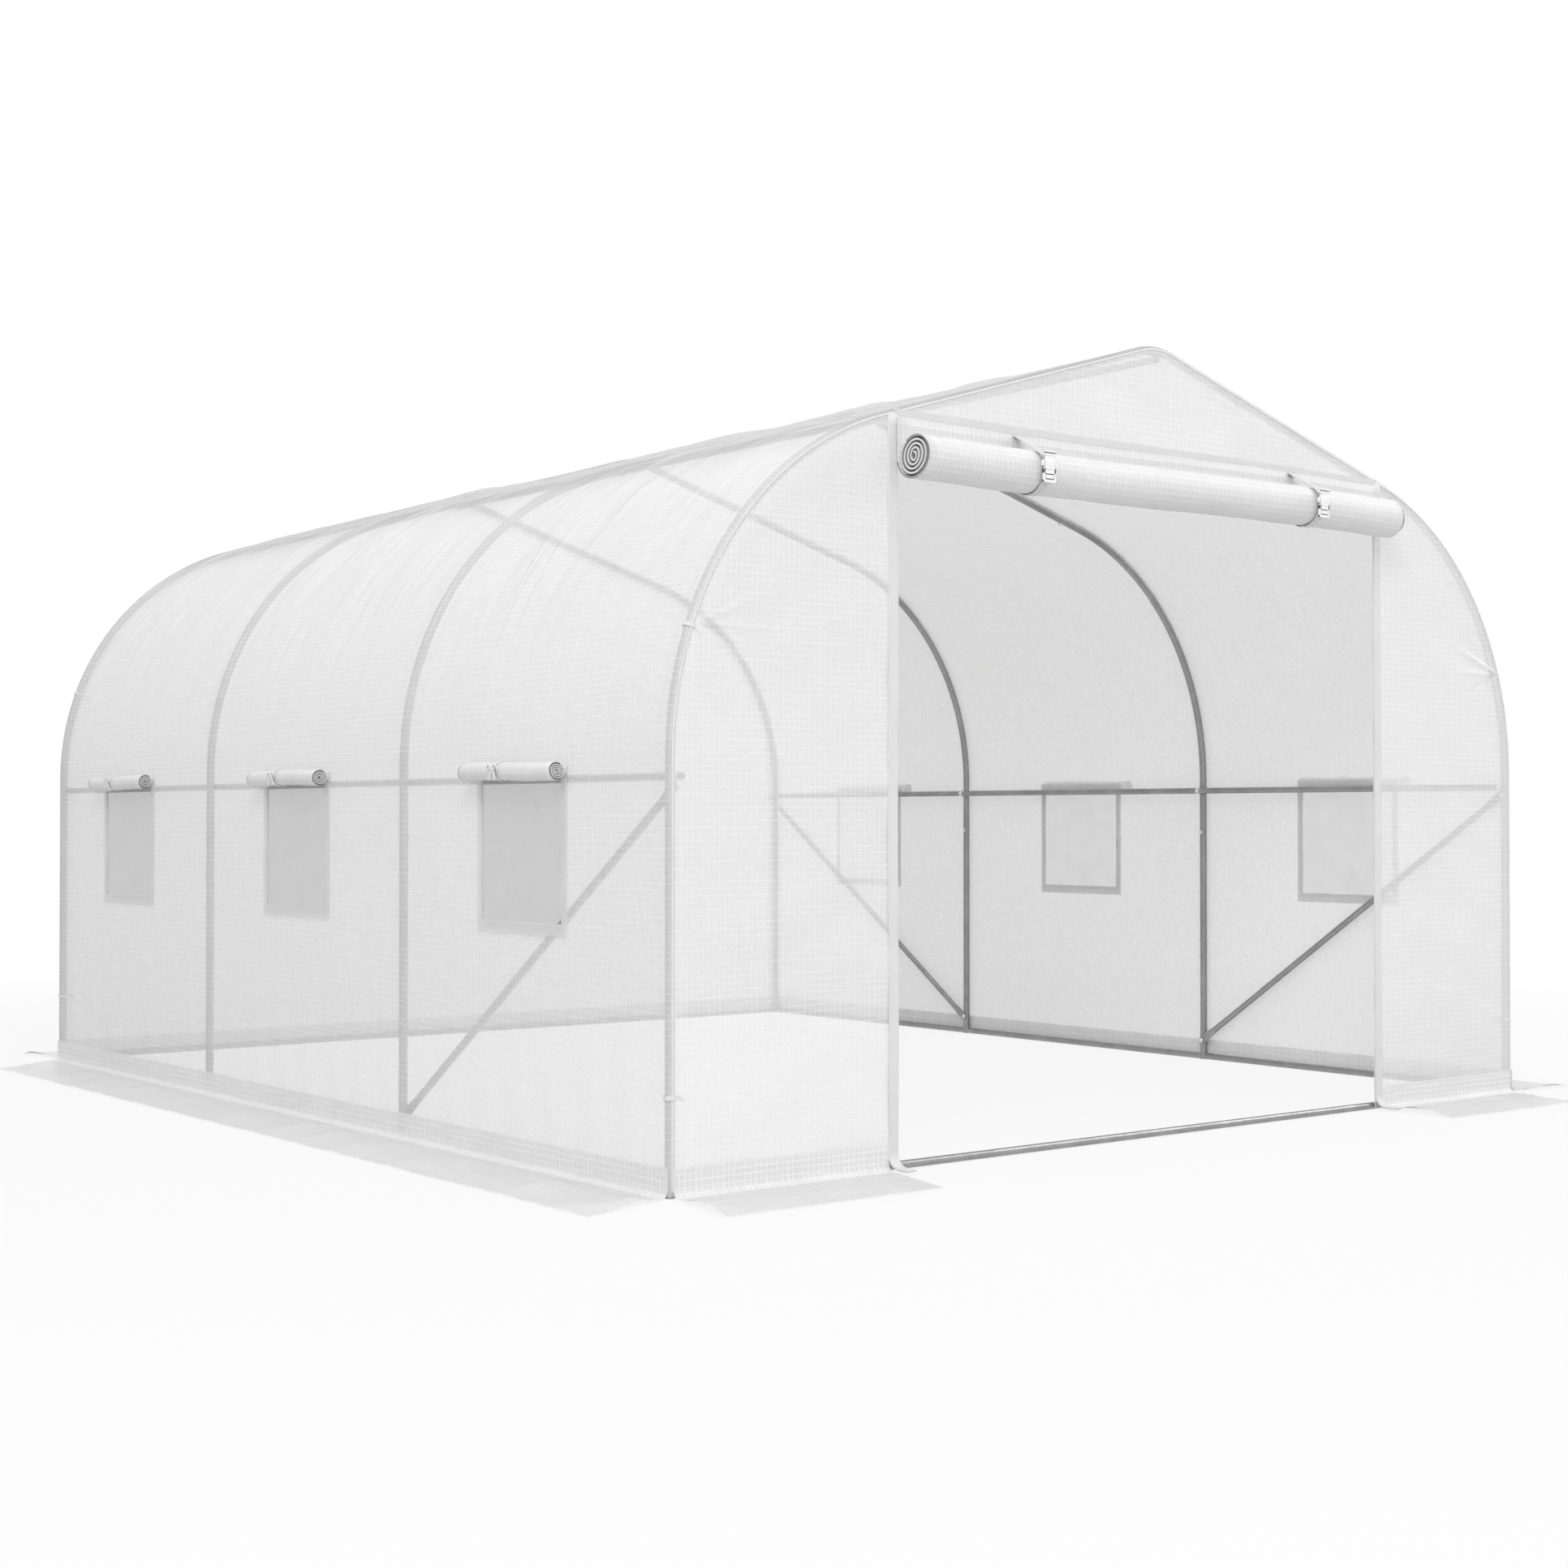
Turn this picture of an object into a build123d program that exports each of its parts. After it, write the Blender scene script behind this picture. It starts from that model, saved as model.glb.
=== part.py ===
"""Polytunnel greenhouse: galvanised tube hoops under a sewn cover of reinforced film.

Millimetres. X runs across the tunnel, Y from the door end to the back, Z up.
The origin lies on the ground at the middle of the plan.
"""

import os
from math import atan2, cos, pi, radians, sin, tan

from build123d import *

os.makedirs("parts", exist_ok=True)

# Frame
frame_width = 3000  # between the centrelines of a hoop's two legs
bay_length = 1160  # from hoop to hoop
bay_count = 3
leg_height = 935  # straight leg, up to the start of the shoulder bend
shoulder_radius = 820  # centreline of the shoulder bend
roof_pitch = 16.7  # degrees
apex_radius = 200  # centreline of the bend at the ridge

# Tubes
hoop_diameter = 22
rail_diameter = 19
tube_wall = 1
bow_straight = 120  # straight length at each end of a bow
spigot_length = 40  # swaged end that plugs into the next tube
spigot_gap = 0.2
neck_length = 4  # short collar where a tube narrows to its spigot
seat_gap = 0.3  # between pieces that bear on each other

# Purlins and braces
purlin_height = 893
brace_foot_height = 62
brace_tab_width = 26  # flattened end of a brace
brace_tab_length = 34
brace_neck_length = 40  # from the round tube to the flattened end
bolt_diameter = 6.4

# Cover
film_thickness = 2
skirt_width = 250
tie_band_thickness = 1.5
tie_band_width = 18
low_tie_height = 212
high_tie_angle = 20  # degrees round the shoulder bend
tie_wrap_angle = 160  # degrees of the tube that a tie clasps

# Doorway
door_width = 1740
gable_drop = 290  # from the line of the ridge down to the head of the doorway
binding_thickness = 1.5
jamb_width = 30
jamb_bend_radius = 34  # where the jamb binding turns out over the skirt
jamb_foot_length = 30
header_height = 36
door_roll_radius = 55
door_roll_drop = 76  # from the header seam down to the middle of the roll
door_flap_margin = 5  # of the rolled door, past the doorway at either side
door_roll_pitch = 10  # from turn to turn
door_roll_half_turns = 10
strap_width = 25
strap_thickness = 1.6
strap_spread = 1010  # between the two straps
buckle_width = 44  # over the side pads that release it
buckle_height = 75
buckle_thickness = 8
buckle_frame_width = 40  # of the strap loops at its two ends
buckle_frame_thickness = 6
buckle_body_width = 36
buckle_body_height = 25
buckle_body_corner = 6
buckle_tongue_height = 12  # strap loop of the half that plugs in
buckle_arm_length = 9  # where the arms show between the two halves
buckle_arm_width = 5
buckle_arm_spread = 20
buckle_pad_height = 14
buckle_bar = 4.5
buckle_frame_corner = 2
buckle_slots = 2

# Windows
window_width = 389
window_bottom = 535
window_top = 925
window_side_binding = 20
window_end_binding = 28
screen_thickness = 1
screen_margin = 12  # hidden behind the edge of the film
window_roll_radius = 24
window_roll_drop = 12
window_flap_margin = 8  # of a rolled flap, past the window's binding at either end
window_roll_pitch = 7
window_roll_half_turns = 6
tie_cord_width = 6
tie_cord_thickness = 1.5
tie_cord_share = 0.58  # place of the tie along the roll, from its front end

overrun = 20  # how far a cut reaches past what it cuts

# Values that follow
pitch = radians(roof_pitch)
half_width = frame_width / 2
half_length = bay_length * bay_count / 2
hoop_radius = hoop_diameter / 2
rail_radius = rail_diameter / 2
film_inner = hoop_radius + seat_gap
film_outer = film_inner + film_thickness
shoulder_x = half_width - shoulder_radius
virtual_peak = (
    leg_height
    + shoulder_radius * cos(pitch)
    + (shoulder_x + shoulder_radius * sin(pitch)) * tan(pitch)
)
apex_z = virtual_peak - apex_radius / cos(pitch)
door_height = virtual_peak - gable_drop
door_half = door_width / 2
door_roll_length = door_width + 2 * door_flap_margin
window_roll_length = window_width + 2 * window_flap_margin
door_face = half_length + film_outer
wall_face = half_width + film_outer
hoop_names = ["front_hoop", "second_hoop", "third_hoop", "back_hoop"]
hoop_places = [bay_length * index - half_length for index in range(bay_count + 1)]
bay_places = [place + bay_length / 2 for place in hoop_places[:-1]]


def shoulder_point(offset, angle):
    """Point of the shoulder bend, at an offset outside the hoop's centreline."""
    reach = shoulder_radius + offset
    return (shoulder_x + reach * cos(angle), leg_height + reach * sin(angle))


def apex_point(offset, angle):
    """Point of the bend at the ridge, by its angle from upright."""
    reach = apex_radius + offset
    return (reach * sin(angle), apex_z + reach * cos(angle))


shoulder_turn = pi / 2 - pitch


def flip(point, side):
    """The same profile point on the left (-1) or right (+1) half."""
    return (side * point[0], point[1])


def upright_plane(y):
    """Vertical plane across the tunnel, drawn in X and Z."""
    return Plane.XZ.offset(-y)


def arch_face(offset):
    """Outline of the tunnel's end, at an offset outside the hoop's centreline."""
    with BuildLine() as outline:
        foot = half_width + offset
        Line((-foot, 0), (foot, 0))
        for side in (-1, 1):
            Line(flip((foot, 0), side), flip((foot, leg_height), side))
            ThreePointArc(
                flip(shoulder_point(offset, 0), side),
                flip(shoulder_point(offset, shoulder_turn / 2), side),
                flip(shoulder_point(offset, shoulder_turn), side),
            )
            Line(
                flip(shoulder_point(offset, shoulder_turn), side),
                flip(apex_point(offset, pitch), side),
            )
        ThreePointArc(
            flip(apex_point(offset, pitch), -1),
            apex_point(offset, 0),
            apex_point(offset, pitch),
        )
    make_face(outline.line)


def ring(radius):
    """Cross-section of a tube."""
    Circle(radius)
    Circle(radius - tube_wall, mode=Mode.SUBTRACT)


def add_tube(plane, length, radius):
    """Straight tube from the plane along its normal."""
    with BuildSketch(plane) as section:
        ring(radius)
    extrude(section.sketch, amount=length)


def add_spigot(plane, radius):
    """Swaged end: a collar inside the tube, then a narrower length beyond it."""
    spigot_radius = radius - tube_wall - spigot_gap
    with BuildSketch(plane) as collar:
        Circle(radius)
        Circle(spigot_radius - tube_wall, mode=Mode.SUBTRACT)
    extrude(collar.sketch, amount=-neck_length)
    with BuildSketch(plane) as section:
        ring(spigot_radius)
    extrude(section.sketch, amount=spigot_length)


def save(piece, name):
    """Label a finished piece and write it."""
    piece.part.label = name
    export_step(piece.part, f"parts/{name}.step")


# Hoops: two legs, two bent bows and one roof bar each
leg_joint = leg_height - bow_straight
bend_end_x, bend_end_z = shoulder_point(0, shoulder_turn)
roof_joint = (bend_end_x - bow_straight * cos(pitch), bend_end_z + bow_straight * sin(pitch))
for name, y in zip(hoop_names, hoop_places):
    with BuildPart() as legs:
        for side in (-1, 1):
            add_tube(Plane((side * half_width, y, 0)), leg_joint, hoop_radius)
    save(legs, f"{name}_legs")

    with BuildPart() as bows:
        for side in (-1, 1):
            with BuildLine(upright_plane(y)) as bend:
                Line(flip((half_width, leg_joint), side), flip(shoulder_point(0, 0), side))
                ThreePointArc(
                    flip(shoulder_point(0, 0), side),
                    flip(shoulder_point(0, shoulder_turn / 2), side),
                    flip(shoulder_point(0, shoulder_turn), side),
                )
                Line(flip(shoulder_point(0, shoulder_turn), side), flip(roof_joint, side))
            with BuildSketch(Plane(origin=bend.line @ 0, z_dir=bend.line % 0)):
                ring(hoop_radius)
            sweep()
            add_spigot(Plane((side * half_width, y, leg_joint), z_dir=(0, 0, -1)), hoop_radius)
    save(bows, f"{name}_bows")

    with BuildPart() as roof_bar:
        with BuildLine(upright_plane(y)) as roof_line:
            Line(flip(roof_joint, -1), flip(apex_point(0, pitch), -1))
            ThreePointArc(flip(apex_point(0, pitch), -1), apex_point(0, 0), apex_point(0, pitch))
            Line(apex_point(0, pitch), roof_joint)
        with BuildSketch(Plane(origin=roof_line.line @ 0, z_dir=roof_line.line % 0)):
            ring(hoop_radius)
        sweep()
        for side in (-1, 1):
            end_x, end_z = flip(roof_joint, side)
            down_slope = (side * cos(pitch), 0, -sin(pitch))
            add_spigot(Plane((end_x, y, end_z), z_dir=down_slope), hoop_radius)
    save(roof_bar, f"{name}_roof_bar")

# Purlins: one tube to a bay, plugged end to end behind the hoops
purlin_x = half_width - hoop_radius - seat_gap - rail_radius
ridge_z = apex_z + apex_radius - hoop_radius - seat_gap - rail_radius
purlin_lines = {
    "left_purlin": (-purlin_x, purlin_height),
    "right_purlin": (purlin_x, purlin_height),
    "ridge_purlin": (0, ridge_z),
}
for name, (x, z) in purlin_lines.items():
    with BuildPart() as purlin:
        for index in range(bay_count):
            last = index == bay_count - 1
            start = hoop_places[index] + (0 if index else -hoop_radius) + seat_gap
            end = hoop_places[index + 1] + (hoop_radius if last else 0)
            add_tube(Plane((x, start, z), z_dir=(0, 1, 0)), end - start, rail_radius)
            if not last:
                add_spigot(Plane((x, end, z), z_dir=(0, 1, 0)), rail_radius)
    save(purlin, name)

# Ground rails between the feet, their ends coped to the legs
for name, side in (("left_base_rail", -1), ("right_base_rail", 1)):
    with BuildPart() as base_rail:
        start = (side * half_width, -half_length, rail_radius)
        add_tube(Plane(start, z_dir=(0, 1, 0)), 2 * half_length, rail_radius)
        with Locations(*[(side * half_width, y, 0) for y in hoop_places]):
            Cylinder(
                hoop_radius + seat_gap,
                leg_height,
                align=(Align.CENTER, Align.CENTER, Align.MIN),
                mode=Mode.SUBTRACT,
            )
        with Locations(*[(side * half_width, y, rail_radius) for y in (-half_length, half_length)]):
            Cylinder(
                rail_radius + seat_gap,
                rail_diameter + overrun,
                rotation=(0, 90, 0),
                mode=Mode.SUBTRACT,
            )
    save(base_rail, name)

for name, y in (("threshold_rail", -half_length), ("back_base_rail", half_length)):
    with BuildPart() as cross_rail:
        add_tube(Plane((-half_width, y, rail_radius), z_dir=(1, 0, 0)), frame_width, rail_radius)
        with Locations((-half_width, y, 0), (half_width, y, 0)):
            Cylinder(
                hoop_radius + seat_gap,
                leg_height,
                align=(Align.CENTER, Align.CENTER, Align.MIN),
                mode=Mode.SUBTRACT,
            )
    save(cross_rail, name)

# Braces: tubes with flattened, drilled ends, bolted inside the hoops
brace_tab_thickness = 2 * tube_wall
brace_x = half_width - hoop_radius - seat_gap - brace_tab_thickness / 2
brace_head_height = purlin_height - rail_radius - brace_tab_width / 2 - seat_gap
brace_runs = [(-1, 0, 1), (1, 0, 1), (1, bay_count, bay_count - 1)]
with BuildPart() as braces:
    for side, head_hoop, foot_hoop in brace_runs:
        back_or_front = foot_hoop - head_hoop
        tab_shift = back_or_front * (brace_tab_width / 2 - hoop_radius)
        head = Vector(side * brace_x, hoop_places[head_hoop] + tab_shift, brace_head_height)
        foot = Vector(side * brace_x, hoop_places[foot_hoop] - tab_shift, brace_foot_height)
        run = foot - head
        along = run.normalized()
        for end, inward in ((head, along), (foot, -along)):
            tab_plane = Plane(end, x_dir=inward, z_dir=(1, 0, 0))
            with BuildSketch(tab_plane):
                Circle(brace_tab_width / 2)
                with Locations((brace_tab_length / 2, 0)):
                    Rectangle(brace_tab_length, brace_tab_width)
                Circle(bolt_diameter / 2, mode=Mode.SUBTRACT)
            extrude(amount=brace_tab_thickness / 2, both=True)
            neck_start = end + inward * brace_tab_length
            neck_end = neck_start + inward * brace_neck_length
            with BuildSketch(Plane(neck_start, x_dir=(1, 0, 0), z_dir=inward)):
                Rectangle(brace_tab_thickness, brace_tab_width)
            with BuildSketch(Plane(neck_end, x_dir=(1, 0, 0), z_dir=inward)):
                Circle(rail_radius)
            loft()
        tube_start = head + along * (brace_tab_length + brace_neck_length)
        tube_length = run.length - 2 * (brace_tab_length + brace_neck_length)
        add_tube(Plane(tube_start, x_dir=(1, 0, 0), z_dir=along), tube_length, rail_radius)
save(braces, "braces")

# Ties that hold the cover to the end hoops, clasping the tube from inside
tie_inner = hoop_radius + seat_gap
tie_outer = tie_inner + tie_band_thickness
high_tie = radians(high_tie_angle)
with BuildPart() as cover_ties:
    for inward_y, y in ((1, hoop_places[0]), (-1, hoop_places[-1])):
        for side in (-1, 1):
            for (x, z), turn in (
                ((half_width, low_tie_height), 0),
                (shoulder_point(0, high_tie), high_tie),
            ):
                tie_plane = Plane(
                    (side * x, y, z),
                    x_dir=(-side * cos(turn), 0, -sin(turn)),
                    z_dir=(-side * sin(turn), 0, cos(turn)),
                )
                first = -side * inward_y * 45 - tie_wrap_angle / 2
                with BuildSketch(tie_plane):
                    with BuildLine():
                        outer_arc = CenterArc((0, 0), tie_outer, first, tie_wrap_angle)
                        inner_arc = CenterArc((0, 0), tie_inner, first, tie_wrap_angle)
                        Line(outer_arc @ 0, inner_arc @ 0)
                        Line(outer_arc @ 1, inner_arc @ 1)
                    make_face()
                extrude(amount=tie_band_width / 2, both=True)
save(cover_ties, "cover_ties")

# Cover along the sides: upright wall, bent shoulder and roof slope
hole_width = window_width - 2 * window_side_binding
hole_height = window_top - window_bottom - 2 * window_end_binding
window_middle = (window_top + window_bottom) / 2
for hand, side in (("left", -1), ("right", 1)):
    with BuildPart() as wall_cover:
        with BuildSketch(Plane.XZ):
            with Locations((side * (half_width + film_inner + film_thickness / 2), leg_height / 2)):
                Rectangle(film_thickness, leg_height)
        extrude(amount=door_face, both=True)
        with Locations(*[(side * wall_face, y, window_middle) for y in bay_places]):
            Box(overrun, hole_width, hole_height, mode=Mode.SUBTRACT)
    save(wall_cover, f"{hand}_wall_cover")

    with BuildPart() as shoulder_cover:
        with BuildSketch(Plane.XZ):
            with BuildLine():
                for offset in (film_inner, film_outer):
                    ThreePointArc(
                        flip(shoulder_point(offset, 0), side),
                        flip(shoulder_point(offset, shoulder_turn / 2), side),
                        flip(shoulder_point(offset, shoulder_turn), side),
                    )
                for angle in (0, shoulder_turn):
                    Line(
                        flip(shoulder_point(film_inner, angle), side),
                        flip(shoulder_point(film_outer, angle), side),
                    )
            make_face()
        extrude(amount=door_face, both=True)
    save(shoulder_cover, f"{hand}_shoulder_cover")

    with BuildPart() as roof_cover:
        with BuildSketch(Plane.XZ):
            with BuildLine():
                for offset in (film_inner, film_outer):
                    Line(
                        flip(shoulder_point(offset, shoulder_turn), side),
                        flip(apex_point(offset, pitch), side),
                    )
                    ThreePointArc(
                        flip(apex_point(offset, pitch), side),
                        flip(apex_point(offset, pitch / 2), side),
                        apex_point(offset, 0),
                    )
                Line(
                    flip(shoulder_point(film_inner, shoulder_turn), side),
                    flip(shoulder_point(film_outer, shoulder_turn), side),
                )
                Line(apex_point(film_inner, 0), apex_point(film_outer, 0))
            make_face()
        extrude(amount=door_face, both=True)
    save(roof_cover, f"{hand}_roof_cover")

# Cover across the ends: two panels and a gable round the doorway, one sheet at the back
panel_offset = film_inner - seat_gap
panel_width = half_width + panel_offset - door_half
gable_height = virtual_peak + overrun - door_height
front_inside = upright_plane(-half_length - film_inner)
for hand, side in (("left", -1), ("right", 1)):
    with BuildPart() as front_panel:
        with BuildSketch(front_inside):
            arch_face(panel_offset)
            with Locations((side * (door_half + panel_width / 2), virtual_peak / 2)):
                Rectangle(panel_width, virtual_peak, mode=Mode.INTERSECT)
        extrude(amount=film_thickness)
    save(front_panel, f"front_{hand}_panel")

with BuildPart() as gable_panel:
    with BuildSketch(front_inside):
        arch_face(panel_offset)
        with Locations((0, door_height + gable_height / 2)):
            Rectangle(door_width, gable_height, mode=Mode.INTERSECT)
    extrude(amount=film_thickness)
save(gable_panel, "front_gable_panel")

with BuildPart() as back_panel:
    with BuildSketch(upright_plane(half_length + film_outer)):
        arch_face(panel_offset)
    extrude(amount=film_thickness)
save(back_panel, "back_panel")

# Skirts that lie on the ground, open at the corners and across the doorway
for hand, side in (("left", -1), ("right", 1)):
    with BuildPart() as side_skirt:
        with BuildSketch():
            with Locations((side * (wall_face + skirt_width / 2), 0)):
                Rectangle(skirt_width, 2 * door_face)
        extrude(amount=film_thickness)
    save(side_skirt, f"{hand}_skirt")

end_skirt_y = door_face + skirt_width / 2
front_skirt_width = wall_face - door_half
with BuildPart() as front_skirts:
    with BuildSketch():
        front_skirt_x = door_half + front_skirt_width / 2
        with Locations((-front_skirt_x, -end_skirt_y), (front_skirt_x, -end_skirt_y)):
            Rectangle(front_skirt_width, skirt_width)
    extrude(amount=film_thickness)
save(front_skirts, "front_skirts")

with BuildPart() as back_skirt:
    with BuildSketch():
        with Locations((0, end_skirt_y)):
            Rectangle(2 * wall_face, skirt_width)
    extrude(amount=film_thickness)
save(back_skirt, "back_skirt")


def rolled_sheet(radius, pitch_between_turns, half_turns, tail_length):
    """Section of a rolled flap: a tail that hangs from its seam, then a spiral of half circles.

    Drawn with the roll's middle at the origin and the tail rising on the side of +X.
    """
    half_sheet = film_thickness / 2
    with BuildLine() as outline:
        for edge in (-half_sheet, half_sheet):
            Line((radius + edge, tail_length), (radius + edge, 0))
            for turn in range(half_turns):
                odd = turn % 2
                center_x = -odd * pitch_between_turns / 2
                reach = radius - turn * pitch_between_turns / 2 + edge
                CenterArc((center_x, 0), reach, 0 if not odd else 180, -180)
        Line((radius - half_sheet, tail_length), (radius + half_sheet, tail_length))
        last_odd = (half_turns - 1) % 2
        last_x = -last_odd * pitch_between_turns / 2
        last_reach = radius - (half_turns - 1) * pitch_between_turns / 2
        last_side = 1 if last_odd else -1
        Line(
            (last_x + last_side * (last_reach - half_sheet), 0),
            (last_x + last_side * (last_reach + half_sheet), 0),
        )
    make_face(outline.line)


def hanging_loop(radius, thickness, drop):
    """Section of a band that hangs from a seam and passes under a roll.

    The seam is a drop above the roll's middle, on the side of +X.
    """
    lean = atan2(drop, radius)
    for reach, mode in ((radius + thickness, Mode.ADD), (radius, Mode.SUBTRACT)):
        seam = (reach, reach * tan(lean))
        touch = (reach * cos(2 * lean), reach * sin(2 * lean))
        with BuildLine() as outline:
            Line(seam, (reach, 0))
            ThreePointArc((reach, 0), (-reach * cos(lean), -reach * sin(lean)), touch)
            Line(touch, seam)
        make_face(outline.line, mode=mode)


# Doorway: bindings, the rolled door, its straps and buckles
with BuildPart() as jambs:
    for side in (-1, 1):
        bend_y = -door_face - binding_thickness - jamb_bend_radius
        bend_z = film_thickness + binding_thickness + jamb_bend_radius
        foot_y = bend_y - jamb_foot_length
        outer = jamb_bend_radius + binding_thickness
        left_x = side * (door_half + jamb_width / 2) - jamb_width / 2
        with BuildSketch(Plane.YZ.offset(left_x)):
            with BuildLine():
                CenterArc((bend_y, bend_z), outer, -90, 90)
                CenterArc((bend_y, bend_z), jamb_bend_radius, -90, 90)
                for reach in (jamb_bend_radius, outer):
                    Line((bend_y + reach, bend_z), (bend_y + reach, door_height))
                    Line((bend_y, bend_z - reach), (foot_y, bend_z - reach))
                Line((bend_y + outer, door_height), (bend_y + jamb_bend_radius, door_height))
                Line((foot_y, bend_z - outer), (foot_y, bend_z - jamb_bend_radius))
            make_face()
        extrude(amount=jamb_width)
save(jambs, "door_jambs")

with BuildPart() as header:
    with BuildSketch(upright_plane(-door_face)):
        with Locations((0, door_height + header_height / 2)):
            Rectangle(door_width + 2 * jamb_width, header_height)
    extrude(amount=binding_thickness)
save(header, "door_header")

loop_radius = door_roll_radius + film_thickness / 2 + seat_gap
header_face = door_face + binding_thickness
roll_y = -header_face - seat_gap - strap_thickness - loop_radius
roll_z = door_height - door_roll_drop


def roll_plane(x):
    """Plane across the door roll, with its origin on the roll's axis and its X to the wall."""
    return Plane((x, roll_y, roll_z), x_dir=(0, 1, 0), z_dir=(1, 0, 0))


with BuildPart() as door_roll:
    with BuildSketch(roll_plane(-door_roll_length / 2)):
        rolled_sheet(door_roll_radius, door_roll_pitch, door_roll_half_turns, door_roll_drop)
    extrude(amount=door_roll_length)
save(door_roll, "door_roll")

strap_lift = door_roll_drop + header_height / 2
with BuildPart() as straps:
    for side in (-1, 1):
        strap_x = side * strap_spread / 2 - strap_width / 2
        with BuildSketch(roll_plane(strap_x)):
            hanging_loop(loop_radius, strap_thickness, strap_lift)
        extrude(amount=strap_width)
save(straps, "door_straps")

buckle_back = roll_y - loop_radius - strap_thickness - seat_gap
buckle_top = roll_z + buckle_height / 2
tongue_z = buckle_top - buckle_tongue_height / 2
arm_z = buckle_top - buckle_tongue_height - buckle_arm_length / 2
body_z = arm_z - (buckle_arm_length + buckle_body_height) / 2
ladder_top = body_z - buckle_body_height / 2
ladder_height = ladder_top - buckle_top + buckle_height
ladder_slot = ladder_height / buckle_slots - buckle_bar
slot_width = buckle_frame_width - 2 * buckle_bar
tongue_slot = buckle_tongue_height - 2 * buckle_bar
with BuildPart() as buckles:
    for side in (-1, 1):
        buckle_x = side * strap_spread / 2
        with BuildSketch(upright_plane(buckle_back)) as buckle_frame:
            with Locations((buckle_x, tongue_z)):
                RectangleRounded(buckle_frame_width, buckle_tongue_height, buckle_frame_corner)
                Rectangle(slot_width, tongue_slot, mode=Mode.SUBTRACT)
            with Locations((buckle_x, arm_z)):
                with GridLocations(buckle_arm_spread, 0, 2, 1):
                    Rectangle(buckle_arm_width, buckle_arm_length)
            with Locations((buckle_x, body_z)):
                RectangleRounded(buckle_width, buckle_pad_height, buckle_frame_corner)
                Rectangle(buckle_body_width, buckle_body_height)
            with Locations((buckle_x, ladder_top - ladder_height / 2)):
                Rectangle(buckle_frame_width, ladder_height)
            for slot in range(buckle_slots):
                slot_top = ladder_top - slot * (ladder_slot + buckle_bar)
                with Locations((buckle_x, slot_top - ladder_slot / 2)):
                    Rectangle(slot_width, ladder_slot, mode=Mode.SUBTRACT)
        extrude(buckle_frame.sketch, amount=buckle_frame_thickness)
        with BuildSketch(upright_plane(buckle_back)) as buckle_body:
            with Locations((buckle_x, body_z)):
                RectangleRounded(buckle_body_width, buckle_body_height, buckle_body_corner)
        extrude(buckle_body.sketch, amount=buckle_thickness)
save(buckles, "door_buckles")

# Windows: screen, binding, rolled flap and its tie, one set to a bay on each side
window_places = [(side, y) for side in (-1, 1) for y in bay_places]
binding_face = wall_face + binding_thickness
window_loop_radius = window_roll_radius + film_thickness / 2 + seat_gap
window_roll_x = binding_face + seat_gap + tie_cord_thickness + window_loop_radius
window_roll_z = window_top - window_roll_drop


def side_plane(side, x, y, z):
    """Upright plane along the tunnel; its X points at the wall, its normal along the wall."""
    return Plane((side * x, y, z), x_dir=(-side, 0, 0), z_dir=(0, side, 0))


with BuildPart() as screens:
    screen_x = half_width + film_inner - screen_thickness / 2
    with Locations(*[(side * screen_x, y, window_middle) for side, y in window_places]):
        Box(screen_thickness, hole_width + 2 * screen_margin, hole_height + 2 * screen_margin)
save(screens, "window_screens")

with BuildPart() as bindings:
    binding_x = wall_face + binding_thickness / 2
    with Locations(*[(side * binding_x, y, window_middle) for side, y in window_places]):
        Box(binding_thickness, window_width, window_top - window_bottom)
        Box(overrun, hole_width, hole_height, mode=Mode.SUBTRACT)
save(bindings, "window_bindings")

with BuildPart() as window_rolls:
    for side, y in window_places:
        with BuildSketch(side_plane(side, window_roll_x, y, window_roll_z)):
            rolled_sheet(
                window_roll_radius, window_roll_pitch, window_roll_half_turns, window_roll_drop
            )
        extrude(amount=window_roll_length / 2, both=True)
save(window_rolls, "window_rolls")

tie_shift = (tie_cord_share - 0.5) * window_roll_length
with BuildPart() as window_ties:
    for side, y in window_places:
        with BuildSketch(side_plane(side, window_roll_x, y + tie_shift, window_roll_z)):
            hanging_loop(window_loop_radius, tie_cord_thickness, window_roll_drop)
        extrude(amount=tie_cord_width / 2, both=True)
save(window_ties, "window_ties")
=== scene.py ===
"""Looks of a polytunnel greenhouse: woven film, sewn edges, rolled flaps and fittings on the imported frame.

Metres. X runs across the tunnel, Y from the door end to the back, Z up.
"""

import math

import bpy
import numpy as np
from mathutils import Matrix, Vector
from mathutils.geometry import delaunay_2d_cdt


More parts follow.
